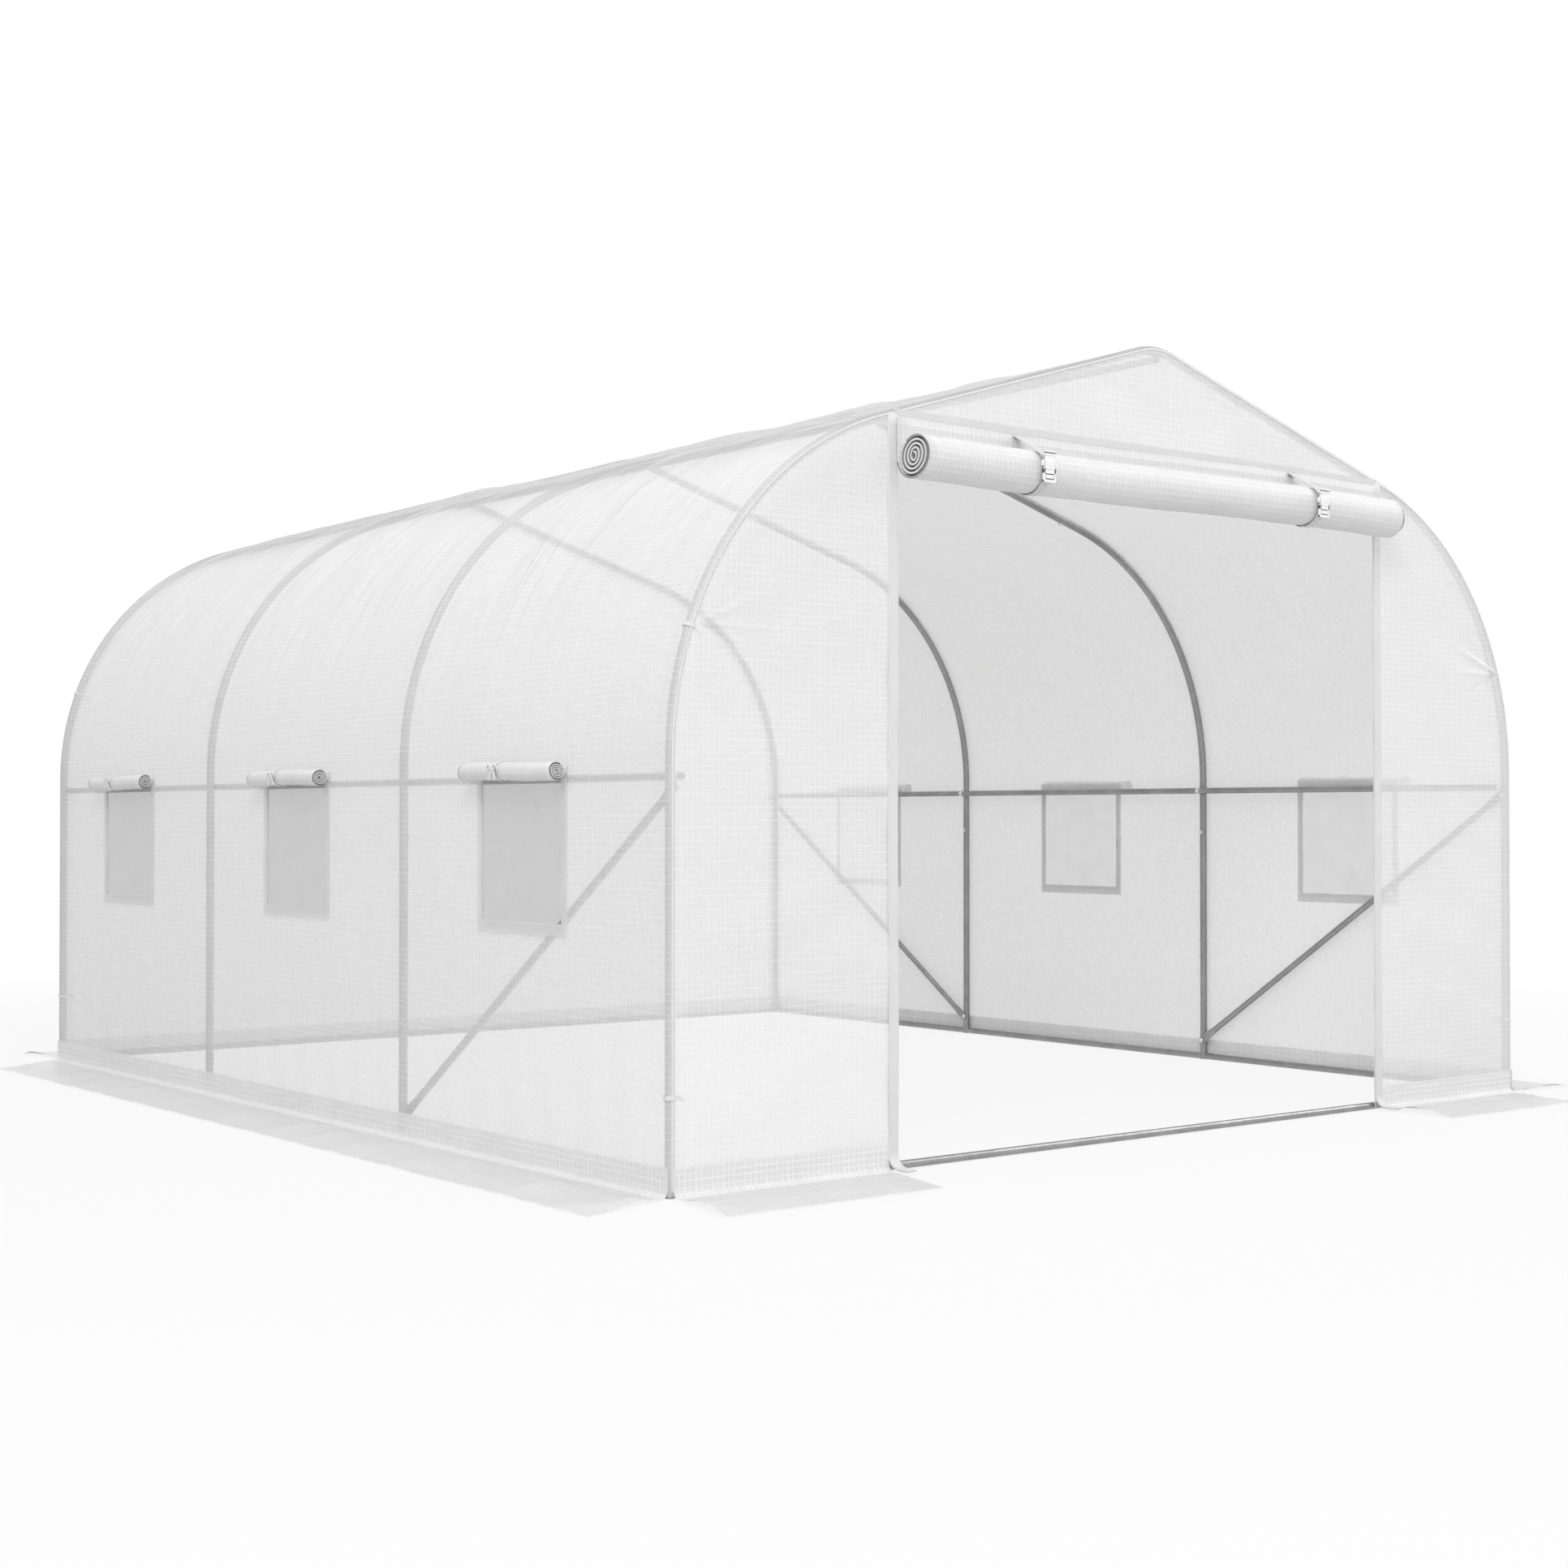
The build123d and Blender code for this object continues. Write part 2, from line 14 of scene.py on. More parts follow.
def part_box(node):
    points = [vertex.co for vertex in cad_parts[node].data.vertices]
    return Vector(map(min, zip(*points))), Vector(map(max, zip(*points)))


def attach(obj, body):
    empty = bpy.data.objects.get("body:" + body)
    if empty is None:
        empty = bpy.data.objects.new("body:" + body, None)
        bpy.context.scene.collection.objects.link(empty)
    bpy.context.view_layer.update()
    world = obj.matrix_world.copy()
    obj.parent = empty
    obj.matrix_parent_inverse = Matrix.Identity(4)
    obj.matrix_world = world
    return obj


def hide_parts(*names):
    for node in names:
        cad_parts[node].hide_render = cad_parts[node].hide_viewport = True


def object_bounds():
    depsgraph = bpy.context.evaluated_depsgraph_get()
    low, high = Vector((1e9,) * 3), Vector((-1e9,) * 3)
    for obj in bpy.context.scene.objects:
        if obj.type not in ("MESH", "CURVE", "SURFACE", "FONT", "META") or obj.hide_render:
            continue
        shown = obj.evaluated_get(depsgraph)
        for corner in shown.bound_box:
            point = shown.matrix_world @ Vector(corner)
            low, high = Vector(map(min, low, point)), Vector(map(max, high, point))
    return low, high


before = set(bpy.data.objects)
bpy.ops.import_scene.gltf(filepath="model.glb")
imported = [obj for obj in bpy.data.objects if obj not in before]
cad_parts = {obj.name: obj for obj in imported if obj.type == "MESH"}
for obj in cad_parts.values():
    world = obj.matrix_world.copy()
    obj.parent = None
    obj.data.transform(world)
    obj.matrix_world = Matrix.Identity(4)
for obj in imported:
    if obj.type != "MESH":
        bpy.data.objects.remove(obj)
cad_low, cad_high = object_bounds()
draws = np.random.default_rng(11)

# Sizes read from the frame
legs_low, legs_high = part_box("front_hoop_legs")
hoop_radius = (legs_high.y - legs_low.y) / 2
half_width = legs_high.x - hoop_radius
wall_low, wall_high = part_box("left_wall_cover")
leg_height = wall_high.z
film_offset = -(wall_low.x + wall_high.x) / 2 - half_width
hoop_names = ("front_hoop", "second_hoop", "third_hoop", "back_hoop")
hoop_nodes = [f"{name}_{part}" for name in hoop_names for part in ("legs", "bows", "roof_bar")]
hoop_places = [sum(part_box(f"{name}_legs"), Vector()).y / 2 for name in hoop_names]
bay_places = [(a + b) / 2 for a, b in zip(hoop_places, hoop_places[1:])]
bay_length = hoop_places[1] - hoop_places[0]
half_length = hoop_places[-1]
end_face = half_length + film_offset
gable_low, gable_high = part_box("front_gable_panel")
door_half = gable_high.x
door_head = gable_low.z
skirt_width = cad_high.x + wall_low.x

# Shape of a hoop
shoulder_radius = 0.82
roof_pitch = math.radians(16.7)
pitch_sin = math.sin(roof_pitch)
pitch_cos = math.cos(roof_pitch)
pitch_tan = math.tan(roof_pitch)
apex_radius = 0.2
shoulder_x = half_width - shoulder_radius
virtual_peak = (
    leg_height
    + shoulder_radius * pitch_cos
    + (shoulder_x + shoulder_radius * pitch_sin) * pitch_tan
)
apex_z = virtual_peak - apex_radius / pitch_cos

# Film
thread_pitch = 0.0146
glow_share = 0.09
hem_sight_share = 0.66
# Painted shade: how grey the outside of the roof turns towards the ridge
roof_painted_shade_share = 0.75
# Distance from a hoop to the painted highlight line beside it
painted_highlight_offset = 0.014
film_floor = 0.003  # lowest edge of the film over the ground
skirt_root = 0.062
skirt_root_fade = 0.03
bend_reach = shoulder_radius + film_offset
ridge_reach = apex_radius + film_offset
ridge_run = ridge_reach * roof_pitch
slope_reach = shoulder_x + (bend_reach - ridge_reach) * pitch_sin
slope_run = slope_reach / pitch_cos
bend_run = bend_reach * (math.pi / 2 - roof_pitch)
half_girth = ridge_run + slope_run + bend_run + leg_height

# Windows
binding_low, binding_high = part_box("window_bindings")
window_bottom = binding_low.z
window_top = binding_high.z
window_half = binding_high.y - bay_places[-1]
window_side_binding = 0.02
window_end_binding = 0.028
hole_half = window_half - window_side_binding
hole_bottom = window_bottom + window_end_binding
hole_top = window_top - window_end_binding


def ease(start, end, value):
    """Smooth step from 0 at start to 1 at end."""
    share = np.clip((value - start) / (end - start), 0, 1)
    return share * share * (3 - 2 * share)


def bump(value, width):
    """Rounded bump of height 1 at 0."""
    return np.exp(-((value / width) ** 2))


def unit(vectors):
    vectors = np.asarray(vectors, float)
    return vectors / np.maximum(np.linalg.norm(vectors, axis=-1, keepdims=True), 1e-12)


def tangents(path):
    return unit(np.gradient(path, axis=0))


def run_lengths(path):
    steps = np.linalg.norm(np.diff(path, axis=0), axis=1)
    return np.concatenate([[0], np.cumsum(steps)])


def columns(*parts):
    """Points from their coordinates; a single number serves every point."""
    return np.stack(np.broadcast_arrays(*parts), axis=-1)


def distance_to(places, y):
    """Distance to the nearest of several places along the tunnel."""
    return np.min([np.abs(y - place) for place in places], axis=0)


def side_points(start, end, count):
    """Points along a straight side, its end left out."""
    start, end = np.array(start), np.array(end)
    return start + np.arange(count)[:, None] / count * (end - start)


# Meshes


def placed(name, data):
    """New object in the scene."""
    made = bpy.data.objects.new(name, data)
    bpy.context.scene.collection.objects.link(made)
    return made


def grid_faces(rows, count, closed=False):
    """Quads of a grid of points, row by row; closed joins the last column to the first."""
    wide = count if closed else count - 1
    return [
        (r * count + c, r * count + (c + 1) % count, (r + 1) * count + (c + 1) % count, (r + 1) * count + c)
        for r in range(rows - 1)
        for c in range(wide)
    ]


class Shape:
    """Points, faces and flat places of a piece that is put together from several runs."""

    def __init__(self):
        self.points = []
        self.faces = []
        self.flats = []
        self.kinds = []

    def add(self, points, faces, flats=None, kinds=None, turned=False):
        """Adds a run: kinds pick the materials of its faces, and turned has them look the other way."""
        first = len(self.points)
        points = np.reshape(points, (-1, 3))
        flats = np.zeros((len(points), 2)) if flats is None else np.reshape(flats, (-1, 2))
        order = -1 if turned else 1
        self.points.extend(points.tolist())
        self.flats.extend(flats.tolist())
        self.faces.extend(tuple(index + first for index in face[::order]) for face in faces)
        self.kinds.extend([0] * len(faces) if kinds is None else kinds)

    def add_rings(self, rings, flats=None, kind=0):
        """Adds a closed skin over a row of rings, with a face at either end."""
        count, sides = rings.shape[:2]
        faces = grid_faces(count, sides, closed=True)
        faces.append(tuple(range(sides))[::-1])
        faces.append(tuple(range((count - 1) * sides, count * sides)))
        self.add(rings, faces, flats, [kind] * len(faces))

    def piece(self, name, smooth=True):
        """Object made of all the runs."""
        mesh = bpy.data.meshes.new(name)
        mesh.from_pydata(self.points, [], self.faces)
        layer = mesh.uv_layers.new(name="UVMap")
        corners = np.zeros(len(mesh.loops), np.int32)
        mesh.loops.foreach_get("vertex_index", corners)
        layer.data.foreach_set("uv", np.array(self.flats, np.float32)[corners].ravel())
        mesh.polygons.foreach_set("use_smooth", [smooth] * len(mesh.polygons))
        mesh.polygons.foreach_set("material_index", self.kinds)
        mesh.update()
        return placed(name, mesh)

    def finish(self, name, material, slot, *nodes, smooth=True):
        """Piece with its material, which stands for the nodes it replaces; slot is not used."""
        piece = self.piece(name, smooth)
        piece.data.materials.append(material)
        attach(piece, "root")
        if nodes:
            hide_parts(*nodes)
        return piece


def add_band(shape, path, across, width, thickness, edge_share=0.06):
    """Flat band with rounded edges along a path; across points over its width."""
    across = unit(np.broadcast_to(across, path.shape))
    proud = unit(np.cross(tangents(path), across))
    edge = width * (0.5 - edge_share)
    inner = width * (0.5 - 2 * edge_share)
    top = [(place, thickness / 2) for place in (-edge, -inner, inner, edge)]
    section = [(-width / 2, 0), *top, (width / 2, 0), *[(a, -b) for a, b in top[::-1]]]
    rings = np.stack([path + across * a + proud * b for a, b in section], axis=1)
    shape.add_rings(rings, columns(run_lengths(path)[:, None], [a for a, _ in section]))


def circles(side, other, count):
    """Rings of radius 1 in the planes of two directions."""
    angles = np.linspace(0, 2 * math.pi, count, endpoint=False)
    return np.cos(angles)[:, None] * side[..., None, :] + np.sin(angles)[:, None] * other[..., None, :]


def add_turned(shape, profile, origin, axis, sides):
    """Solid turned about an axis: profile is a list of (radius, height)."""
    axis = unit(axis)
    side = unit(np.cross(axis, (0.31, 0.2, 0.93)))
    ring = circles(side, np.cross(axis, side), sides)
    shape.add_rings(np.stack([origin + ring * radius + axis * height for radius, height in profile]))


def add_tube(shape, path, radius, sides):
    """Round cord along a path."""
    along = tangents(path)
    side = unit(np.cross(along, (0.21, 0.33, 0.92)))
    shape.add_rings(path[:, None] + radius * circles(side, np.cross(along, side), sides))


stitch_pitch = 0.0065
stitch_length = 0.0044
stitch_width = 0.0011
stitch_height = 0.0006


def add_stitches(shape, path, proud):
    """Row of stitches along a path on a surface; proud points out of the surface."""
    lengths = run_lengths(path)
    count = int(lengths[-1] / stitch_pitch)
    middles = (np.arange(count) + 0.5) * stitch_pitch
    at, out = (
        columns(*[np.interp(middles, lengths, side) for side in points.T])
        for points in (path, np.broadcast_to(proud, path.shape))
    )
    out = unit(out)
    along = tangents(at)
    ends = along * stitch_length / 2
    sides = np.cross(along, out) * stitch_width / 2
    rise = out * stitch_height
    corners = np.stack([at - ends, at + ends, at - sides, at + sides, at + rise, at - rise], axis=1)
    pattern = [(0, 2, 4), (2, 1, 4), (1, 3, 4), (3, 0, 4), (2, 0, 5), (1, 2, 5), (3, 1, 5), (0, 3, 5)]
    faces = [tuple(6 * index + corner for corner in face) for index in range(count) for face in pattern]
    shape.add(corners, faces)


# Shader nodes


def node(tree, kind, values=None, output=0, **settings):
    """Adds a node and gives one of its outputs: settings are its properties, values its inputs."""
    made = tree.nodes.new(kind)
    for key, value in settings.items():
        setattr(made, key, value)
    for key, value in (values or {}).items():
        if isinstance(value, Value):
            tree.links.new(value.socket, made.inputs[key])
        else:
            made.inputs[key].default_value = value
    return Value(tree, made.outputs[output])


def sum_of(operation):
    """Method that works out a sum of a value and others."""

    def method(self, *others):
        return node(self.tree, "ShaderNodeMath", dict(enumerate((self, *others))), operation=operation)

    return method


class Value:
    """Output of a shader node, for sums with numbers and with other outputs of its tree."""

    def __init__(self, tree, socket):
        self.tree = tree
        self.socket = socket

    __add__ = sum_of("ADD")
    __sub__ = sum_of("SUBTRACT")
    __mul__ = sum_of("MULTIPLY")
    __truediv__ = sum_of("DIVIDE")
    __abs__ = sum_of("ABSOLUTE")
    __round__ = sum_of("ROUND")
    most = sum_of("MAXIMUM")
    folded = sum_of("PINGPONG")  # up to a length and back to 0, again and again

    def scaled(self, factors):
        """Vector or colour times factors."""
        return node(self.tree, "ShaderNodeVectorMath", {0: self, 1: factors}, operation="MULTIPLY")

    def mapped(self, low, high, to_low, to_high, kind="LINEAR"):
        """Value brought from one range to another, with a straight run between them."""
        values = dict(enumerate((self, low, high, to_low, to_high)))
        return node(self.tree, "ShaderNodeMapRange", values, interpolation_type=kind)

    def eased(self, low, high, to_low, to_high):
        """Value brought from one range to another, with a soft start and end."""
        return self.mapped(low, high, to_low, to_high, "SMOOTHSTEP")


def new_material(name):
    material = bpy.data.materials.new(name)
    material.use_nodes = True
    material.node_tree.nodes.clear()
    return material, material.node_tree


def flat_place(tree):
    return node(tree, "ShaderNodeUVMap", uv_map="UVMap")


def solid_place(tree):
    return node(tree, "ShaderNodeTexCoord", output="Object")


def split(place):
    return [node(place.tree, "ShaderNodeSeparateXYZ", {0: place}, side) for side in range(2)]


def joined(x, y):
    return node(x.tree, "ShaderNodeCombineXYZ", {0: x, 1: y})


def noise(place, scale, detail=2.0, roughness=0.5, **settings):
    values = {"Vector": place, "Scale": scale, "Detail": detail, "Roughness": roughness}
    return node(place.tree, "ShaderNodeTexNoise", values, **settings)


def waves(place, scale, direction, distortion, detail=2.0):
    values = {"Vector": place, "Scale": scale, "Distortion": distortion, "Detail": detail}
    return node(place.tree, "ShaderNodeTexWave", values, 1, bands_direction=direction)


def blended(share, first, second):
    """Colour between two greys."""
    values = {"Factor": share, 6: (first, first, first, 1), 7: (second, second, second, 1)}
    return node(share.tree, "ShaderNodeMix", values, 2, data_type="RGBA")


def raised(height, distance):
    """Direction of a surface with a fine relief."""
    return node(height.tree, "ShaderNodeBump", {"Height": height, "Distance": distance, "Strength": 1.0})


def principled(colour, normal, values):
    return node(colour.tree, "ShaderNodeBsdfPrincipled", {"Base Color": colour, "Normal": normal, **values})


def mixed(share, first, second):
    return node(first.tree, "ShaderNodeMixShader", {0: share, 1: first, 2: second})


def see_through(shader, sight):
    return mixed(sight, shader, node(shader.tree, "ShaderNodeBsdfTransparent"))


def shown(shader, kind="ShaderNodeOutputMaterial"):
    output = shader.tree.nodes.new(kind)
    shader.tree.links.new(shader.socket, output.inputs["Surface"])


def shown_sheet(colour, normal, roughness, gloss, sight=None):
    """Film or tape: light on its back comes through it, and with a sight part of what is behind shows."""
    surface = principled(colour, normal, {"Roughness": roughness, "Specular IOR Level": gloss})
    glow = node(colour.tree, "ShaderNodeBsdfTranslucent", {"Color": colour, "Normal": normal})
    lit = mixed(glow_share, surface, glow)
    shown(see_through(lit, sight) if sight else lit)


# Materials

coarse_weave = (thread_pitch, 0.0021, 0.42)  # pitch, half a thread and strength of the weakest thread
fine_weave = (thread_pitch / 2, 0.0013, 0.0)
fine_weave_share = 0.42
tape_scales = ((6.0, 300.0, 1.0), (300.0, 6.0, 1.0))
crinkle_depth = 0.0022


def threads(along, across, pitch, half_thread, weakest):
    """Threads at every pitch, each of its own strength and fading here and there along its run."""
    line = along.folded(pitch / 2).eased(half_thread * 0.4, half_thread * 1.6, 1, 0)
    number = round(along / pitch)
    strength = noise(joined(number * 3.7, across * 8.0), 1.0, 1.0, noise_dimensions="2D")
    return line * strength.mapped(0.28, 0.62, weakest, 1)


def film_material(name, sights, greys, roughness=0.38, root=None, over_hoops=False, gloss=0.4):
    """Woven film: reinforcing grid, tape streaks, crinkle; part of what is behind shows through.

    sights and greys go from between the threads to the threads; root is the brightness of a skirt's foot;
    over_hoops adds the creases of the cover, a painted highlight on their crests and in a line beside each
    hoop, painted shade beside the crests and painted shade that greys the outside of the roof towards the
    ridge.
    """
    material, tree = new_material(name)
    place = flat_place(tree)
    x, y = split(place)
    coarse, fine = (threads(x, y, *weave).most(threads(y, x, *weave)) for weave in (coarse_weave, fine_weave))
    grid = coarse.most(fine * fine_weave_share)
    along, across = (noise(place.scaled(factors), 1.0, 1.0) for factors in tape_scales)
    cloud = noise(place, 3.5)
    uneven = (along + across).mapped(0.6, 1.4, -0.25, 0.25) + cloud.mapped(0.3, 0.7, -0.12, 0.12)
    body = node(tree, "ShaderNodeClamp", {0: grid + uneven})
    crinkle = noise(place.scaled((38.0, 24.0, 1.0)), 1.0, 3.0, 0.62)
    doubled = node(tree, "ShaderNodeAttribute", output="Fac", attribute_name="doubled")
    colour = blended(body, *greys)
    sight = body.mapped(0, 1, *sights) * doubled.mapped(0, 1, 1, hem_sight_share)
    relief = crinkle
    if root:
        colour = colour.scaled(y.eased(skirt_root, skirt_root + skirt_root_fade, root, 1))
    if over_hoops:
        run = abs(y)
        from_hoop = x - hoop_places[0]
        roof = run.eased(2.0, 1.2, 0, 1)
        inside = node(tree, "ShaderNodeNewGeometry", output="Backfacing")
        sway = noise(place.scaled((1.5, 3.0, 1.0)), 1.0, 1.0)
        streak = noise(joined(sway * 0.05 + x, run).scaled((15.0, 0.8, 1.0)), 1.0)
        crest = abs(streak - 0.5).eased(0.0, 0.12, 1, 0) * cloud.eased(0.42, 0.6, 0.1, 1)
        crest = crest * from_hoop.folded(bay_length / 2).eased(0.05, 0.2, 0, 1)
        crest = crest * roof * inside.mapped(0, 1, 1, 0)
        # Painted highlight: a white line beside each hoop on the roof, in its colour and in how little shows
        # through it.
        taut = (from_hoop - painted_highlight_offset).folded(bay_length / 2).eased(0.002, 0.007, 1, 0) * roof
        # The crests and the hoop line let less show through, so they read whiter: painted highlight.
        sight = sight * (crest * 0.3).most(taut).mapped(0, 1, 1, 0.35)
        # Painted shade: the outside of the roof turns greyer towards the ridge; the inside keeps its colour.
        grey = (streak * -0.3 + run).eased(0.8, 1.12, roof_painted_shade_share, 1)
        # Painted shade on the flank beside each crest.
        painted_flank_shade = streak.mapped(0.5, 0.36, 0, 0.04) * roof
        colour = colour.scaled((grey - painted_flank_shade).most(taut).most(inside))
        relief = crest * 2.4 + crinkle
    shown_sheet(colour, raised(relief, crinkle_depth), roughness, gloss, sight if any(sights) else None)
    return material


def tape_material(name, grey, sight=None):
    """Smooth sewn tape: fine ribs along it and a soft sheen."""
    material, tree = new_material(name)
    place = flat_place(tree)
    ribs = waves(place, 160.0, "Y", 1.2, 1.0)
    soil = noise(place, 9.0, 4.0)
    colour = blended((ribs * 0.25 + soil).mapped(0.3, 0.95, 0, 1), grey * 0.93, grey * 1.03)
    shown_sheet(colour, raised(soil * 2.0 + ribs, 0.0004), 0.48, 0.35, sight)
    return material


def webbing_material():
    """Woven strap: herringbone ribs across its width."""
    material, tree = new_material("webbing")
    place = flat_place(tree)
    weave = waves(place, 190.0, "X", 0.6) * waves(place, 120.0, "Y", 0.4).mapped(0, 1, 0.5, 1)
    values = {"Roughness": 0.7, "Sheen Weight": 0.15}
    shown(principled(blended(weave, 0.7, 0.9), raised(weave, 0.0006), values))
    return material


def steel_material():
    """Galvanised tube: zinc spangle and dull patches."""
    material, tree = new_material("galvanised_steel")
    place = solid_place(tree)
    spangle = node(tree, "ShaderNodeTexVoronoi", {"Vector": place, "Scale": 140.0}, "Color")
    flakes = node(tree, "ShaderNodeSeparateColor", {0: spangle})
    mottle = flakes * 0.35 + noise(place, 11.0, 5.0, 0.6).mapped(0.3, 0.7, 0, 0.65)
    values = {"Metallic": 0.82, "Roughness": mottle.mapped(0, 1, 0.42, 0.28)}
    shown(principled(blended(mottle, 0.27, 0.39), raised(mottle, 0.0002), values))
    return material


def zinc_material():
    """Bright plated bolt heads and washers."""
    material, tree = new_material("zinc_bolts")
    wear = noise(solid_place(tree), 260.0, 3.0)
    values = {"Metallic": 0.3, "Roughness": wear.mapped(0.2, 0.8, 0.28, 0.46)}
    shown(principled(blended(wear, 0.74, 0.92), raised(wear, 0.0002), values))
    return material


def plastic_material(name, low, high):
    """Moulded plastic with a faint grain."""
    material, tree = new_material(name)
    place = solid_place(tree)
    grain = noise(place, 900.0)
    values = {"Roughness": grain.mapped(0.3, 0.7, 0.24, 0.36)}
    shown(principled(blended(noise(place, 60.0, 3.0), low, high), raised(grain, 0.0001), values))
    return material


def screen_material():
    """Fine insect mesh: thin grey threads with clear gaps."""
    material, tree = new_material("insect_mesh")
    mesh_pitch = 0.0016
    place = flat_place(tree)
    across, up = (side.folded(mesh_pitch / 2).eased(0.0001, 0.00038, 1, 0) for side in split(place))
    thread = across.most(up)
    cloud = noise(place, 14.0, 3.0)
    sight = thread.mapped(0, 1, 0.62, 0.36) + cloud.mapped(0.3, 0.7, -0.03, 0.03)
    surface = principled(blended(cloud, 0.62, 0.68), raised(thread, 0.0004), {"Roughness": 0.6})
    shown(see_through(surface, sight))
    return material


film = film_material("woven_film", (0.37, 0.27), (0.9, 0.95))
cover_film = film_material("cover_film", (0.37, 0.27), (0.9, 0.95), over_hoops=True, gloss=0.0)
rolled_film = film_material("rolled_film", (0.0, 0.0), (0.78, 0.9), 0.55)
# Painted shade: a dark copy of the rolled film for the gaps inside the rolls and the outer ring of their
# ends.
painted_shade_film = film_material("rolled_film_painted_shade", (0.0, 0.0), (0.3, 0.4), 0.6)
skirt_film = film_material("skirt_film", (0.12, 0.07), (0.7, 0.81), 0.5, root=1.2)
jamb_tape = tape_material("jamb_tape", 0.92)
header_tape = tape_material("header_tape", 0.88)
window_tape = tape_material("window_tape", 0.94, 0.22)
seam_tape = tape_material("seam_tape", 0.94)
sewing_thread = tape_material("sewing_thread", 0.94)
webbing = webbing_material()
steel = steel_material()
zinc = zinc_material()
plastic = plastic_material("buckle_plastic", 0.9, 0.95)
# Painted shade: dark plastic for plates set in the buckle's slots.
slot_painted_shade = plastic_material("buckle_slot_painted_shade", 0.1, 0.16)
screen_mesh = screen_material()

# Tubes keep their solids and get the galvanised finish
purlins = ["left_purlin", "right_purlin", "ridge_purlin", "braces"]
rails = ["left_base_rail", "right_base_rail", "back_base_rail", "threshold_rail"]
for name in hoop_nodes + purlins + rails:
    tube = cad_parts[name]
    tube.data.materials.clear()
    tube.data.materials.append(steel)

# Cover over the hoops

fold_count = 13
fold_draws = [
    [draws.uniform(0, 1, 7) for _ in range(fold_count)]
    for _ in range(2 * len(bay_places))
]
window_edges = [place + side * hole_half for place in bay_places for side in (-1, 1)]
hoop_margin = 0.036
fine_step = 0.006
coarse_step = 0.0118
girth_step = 0.019
hoop_press = 0.03  # how far from a hoop the film is lifted by it
hoop_hold = 0.06  # how far from a hoop it has no creases
hoop_rise = 0.0012
roof_rise = 0.0042
sag_depth = 0.007
ripple_height = 0.0016
crush_height = 0.0013
wave_height = 0.0022


def cover_section(girth):
    """Places x, z and outward direction of the cover, by the distance along it from the ridge."""
    run = np.abs(girth)
    hand = np.where(girth < 0, -1.0, 1.0)
    ridge_turn = np.minimum(run, ridge_run) / ridge_reach
    slope = np.clip(run - ridge_run, 0, slope_run)
    bend = np.clip(run - ridge_run - slope_run, 0, bend_run) / bend_reach
    wall = np.clip(run - half_girth + leg_height, 0, leg_height)
    x = (
        ridge_reach * np.sin(ridge_turn)
        + slope * pitch_cos
        + bend_reach * (np.sin(roof_pitch + bend) - pitch_sin)
    )
    z = (
        apex_z
        + ridge_reach * np.cos(ridge_turn)
        - slope * pitch_sin
        + bend_reach * (np.cos(roof_pitch + bend) - pitch_cos)
        - wall
    )
    return hand * x, z, hand * np.sin(ridge_turn + bend), np.cos(ridge_turn + bend)


def divided(stops, step_of):
    """Places from stop to stop, about a step apart."""
    places = [stops[0]]
    for start, end in zip(stops, stops[1:]):
        count = max(1, round((end - start) / step_of((start + end) / 2)))
        places.extend(np.linspace(start, end, count + 1)[1:])
    return np.array(places)


def roof_folds(y, girth):
    """Long creases that run down from the ridge in each bay, steep on one flank."""
    relief = np.zeros(np.broadcast(y, girth).shape)
    slots = [(hand, place) for hand in (-1, 1) for place in bay_places]
    for (hand, place), folds in zip(slots, fold_draws):
        run = hand * girth
        for share in folds:
            start = 0.16 + 0.65 * share[0] ** 1.3
            length = 0.3 + 0.75 * share[1]
            middle = place + (share[2] - 0.5) * bay_length * 0.9
            lean = (share[3] - 0.5) * 0.36
            height = 0.0045 + 0.006 * share[5] ** 1.4
            line = y - middle - lean * (run - start) - 0.012 * np.sin((run - start) * 7 + 6 * share[6])
            steep, gentle = 0.014 + 0.008 * share[4], 0.04 + 0.05 * share[4]
            flank = np.where(line > 0 if share[6] > 0.4 else line < 0, steep, gentle)
            taper = ease(start, start + 0.16, run) * (1 - ease(start + 0.4 * length, start + length, run))
            relief += height * bump(line, flank) * taper
    return relief


def cover_relief(y, girth):
    """How far the film stands out from its even section."""
    aside = distance_to(hoop_places, y)
    between = np.clip(aside / (bay_length / 2), 0, 1)
    run = np.abs(girth)
    height = half_girth - run
    roof = ease(leg_height - 0.1, leg_height + 0.45, height)
    near = 1 - bump(aside, hoop_press)
    free = 1 - bump(aside, hoop_hold)
    taut = 0.3 + 0.7 * ease(0.95, 1.5, run)
    sag = between * (2 - between) * (sag_depth * roof * taut)
    low = 1 - ease(0.06, 0.5, height)
    ripple = ripple_height * np.sin(y * 41 + 2.1 * np.sin(girth * 5.3)) * low * ease(0.0, 0.03, height)
    slack = roof * ease(0.08, 0.4, run)
    crush = crush_height * np.sin(y * 57 + girth * 17 + 1.7 * np.sin(y * 13 - girth * 9)) * slack
    wave = wave_height * np.sin(y * 19 + 1.3 * np.sin(girth * 7)) * slack
    relief = free * (roof_folds(y, girth) + ripple + crush + wave) - sag
    return relief - near * (hoop_rise + roof_rise * roof * taut)


def cover_lengthwise():
    """Places along the tunnel, finer beside the hoops, with the edges of the windows among them."""
    stops = [*hoop_places, *window_edges]
    stops += [place + hoop_margin for place in hoop_places[:-1]]
    stops += [place - hoop_margin for place in hoop_places[1:]]
    return divided(
        sorted(stops), lambda y: fine_step if distance_to(hoop_places, y) < hoop_margin else coarse_step
    )


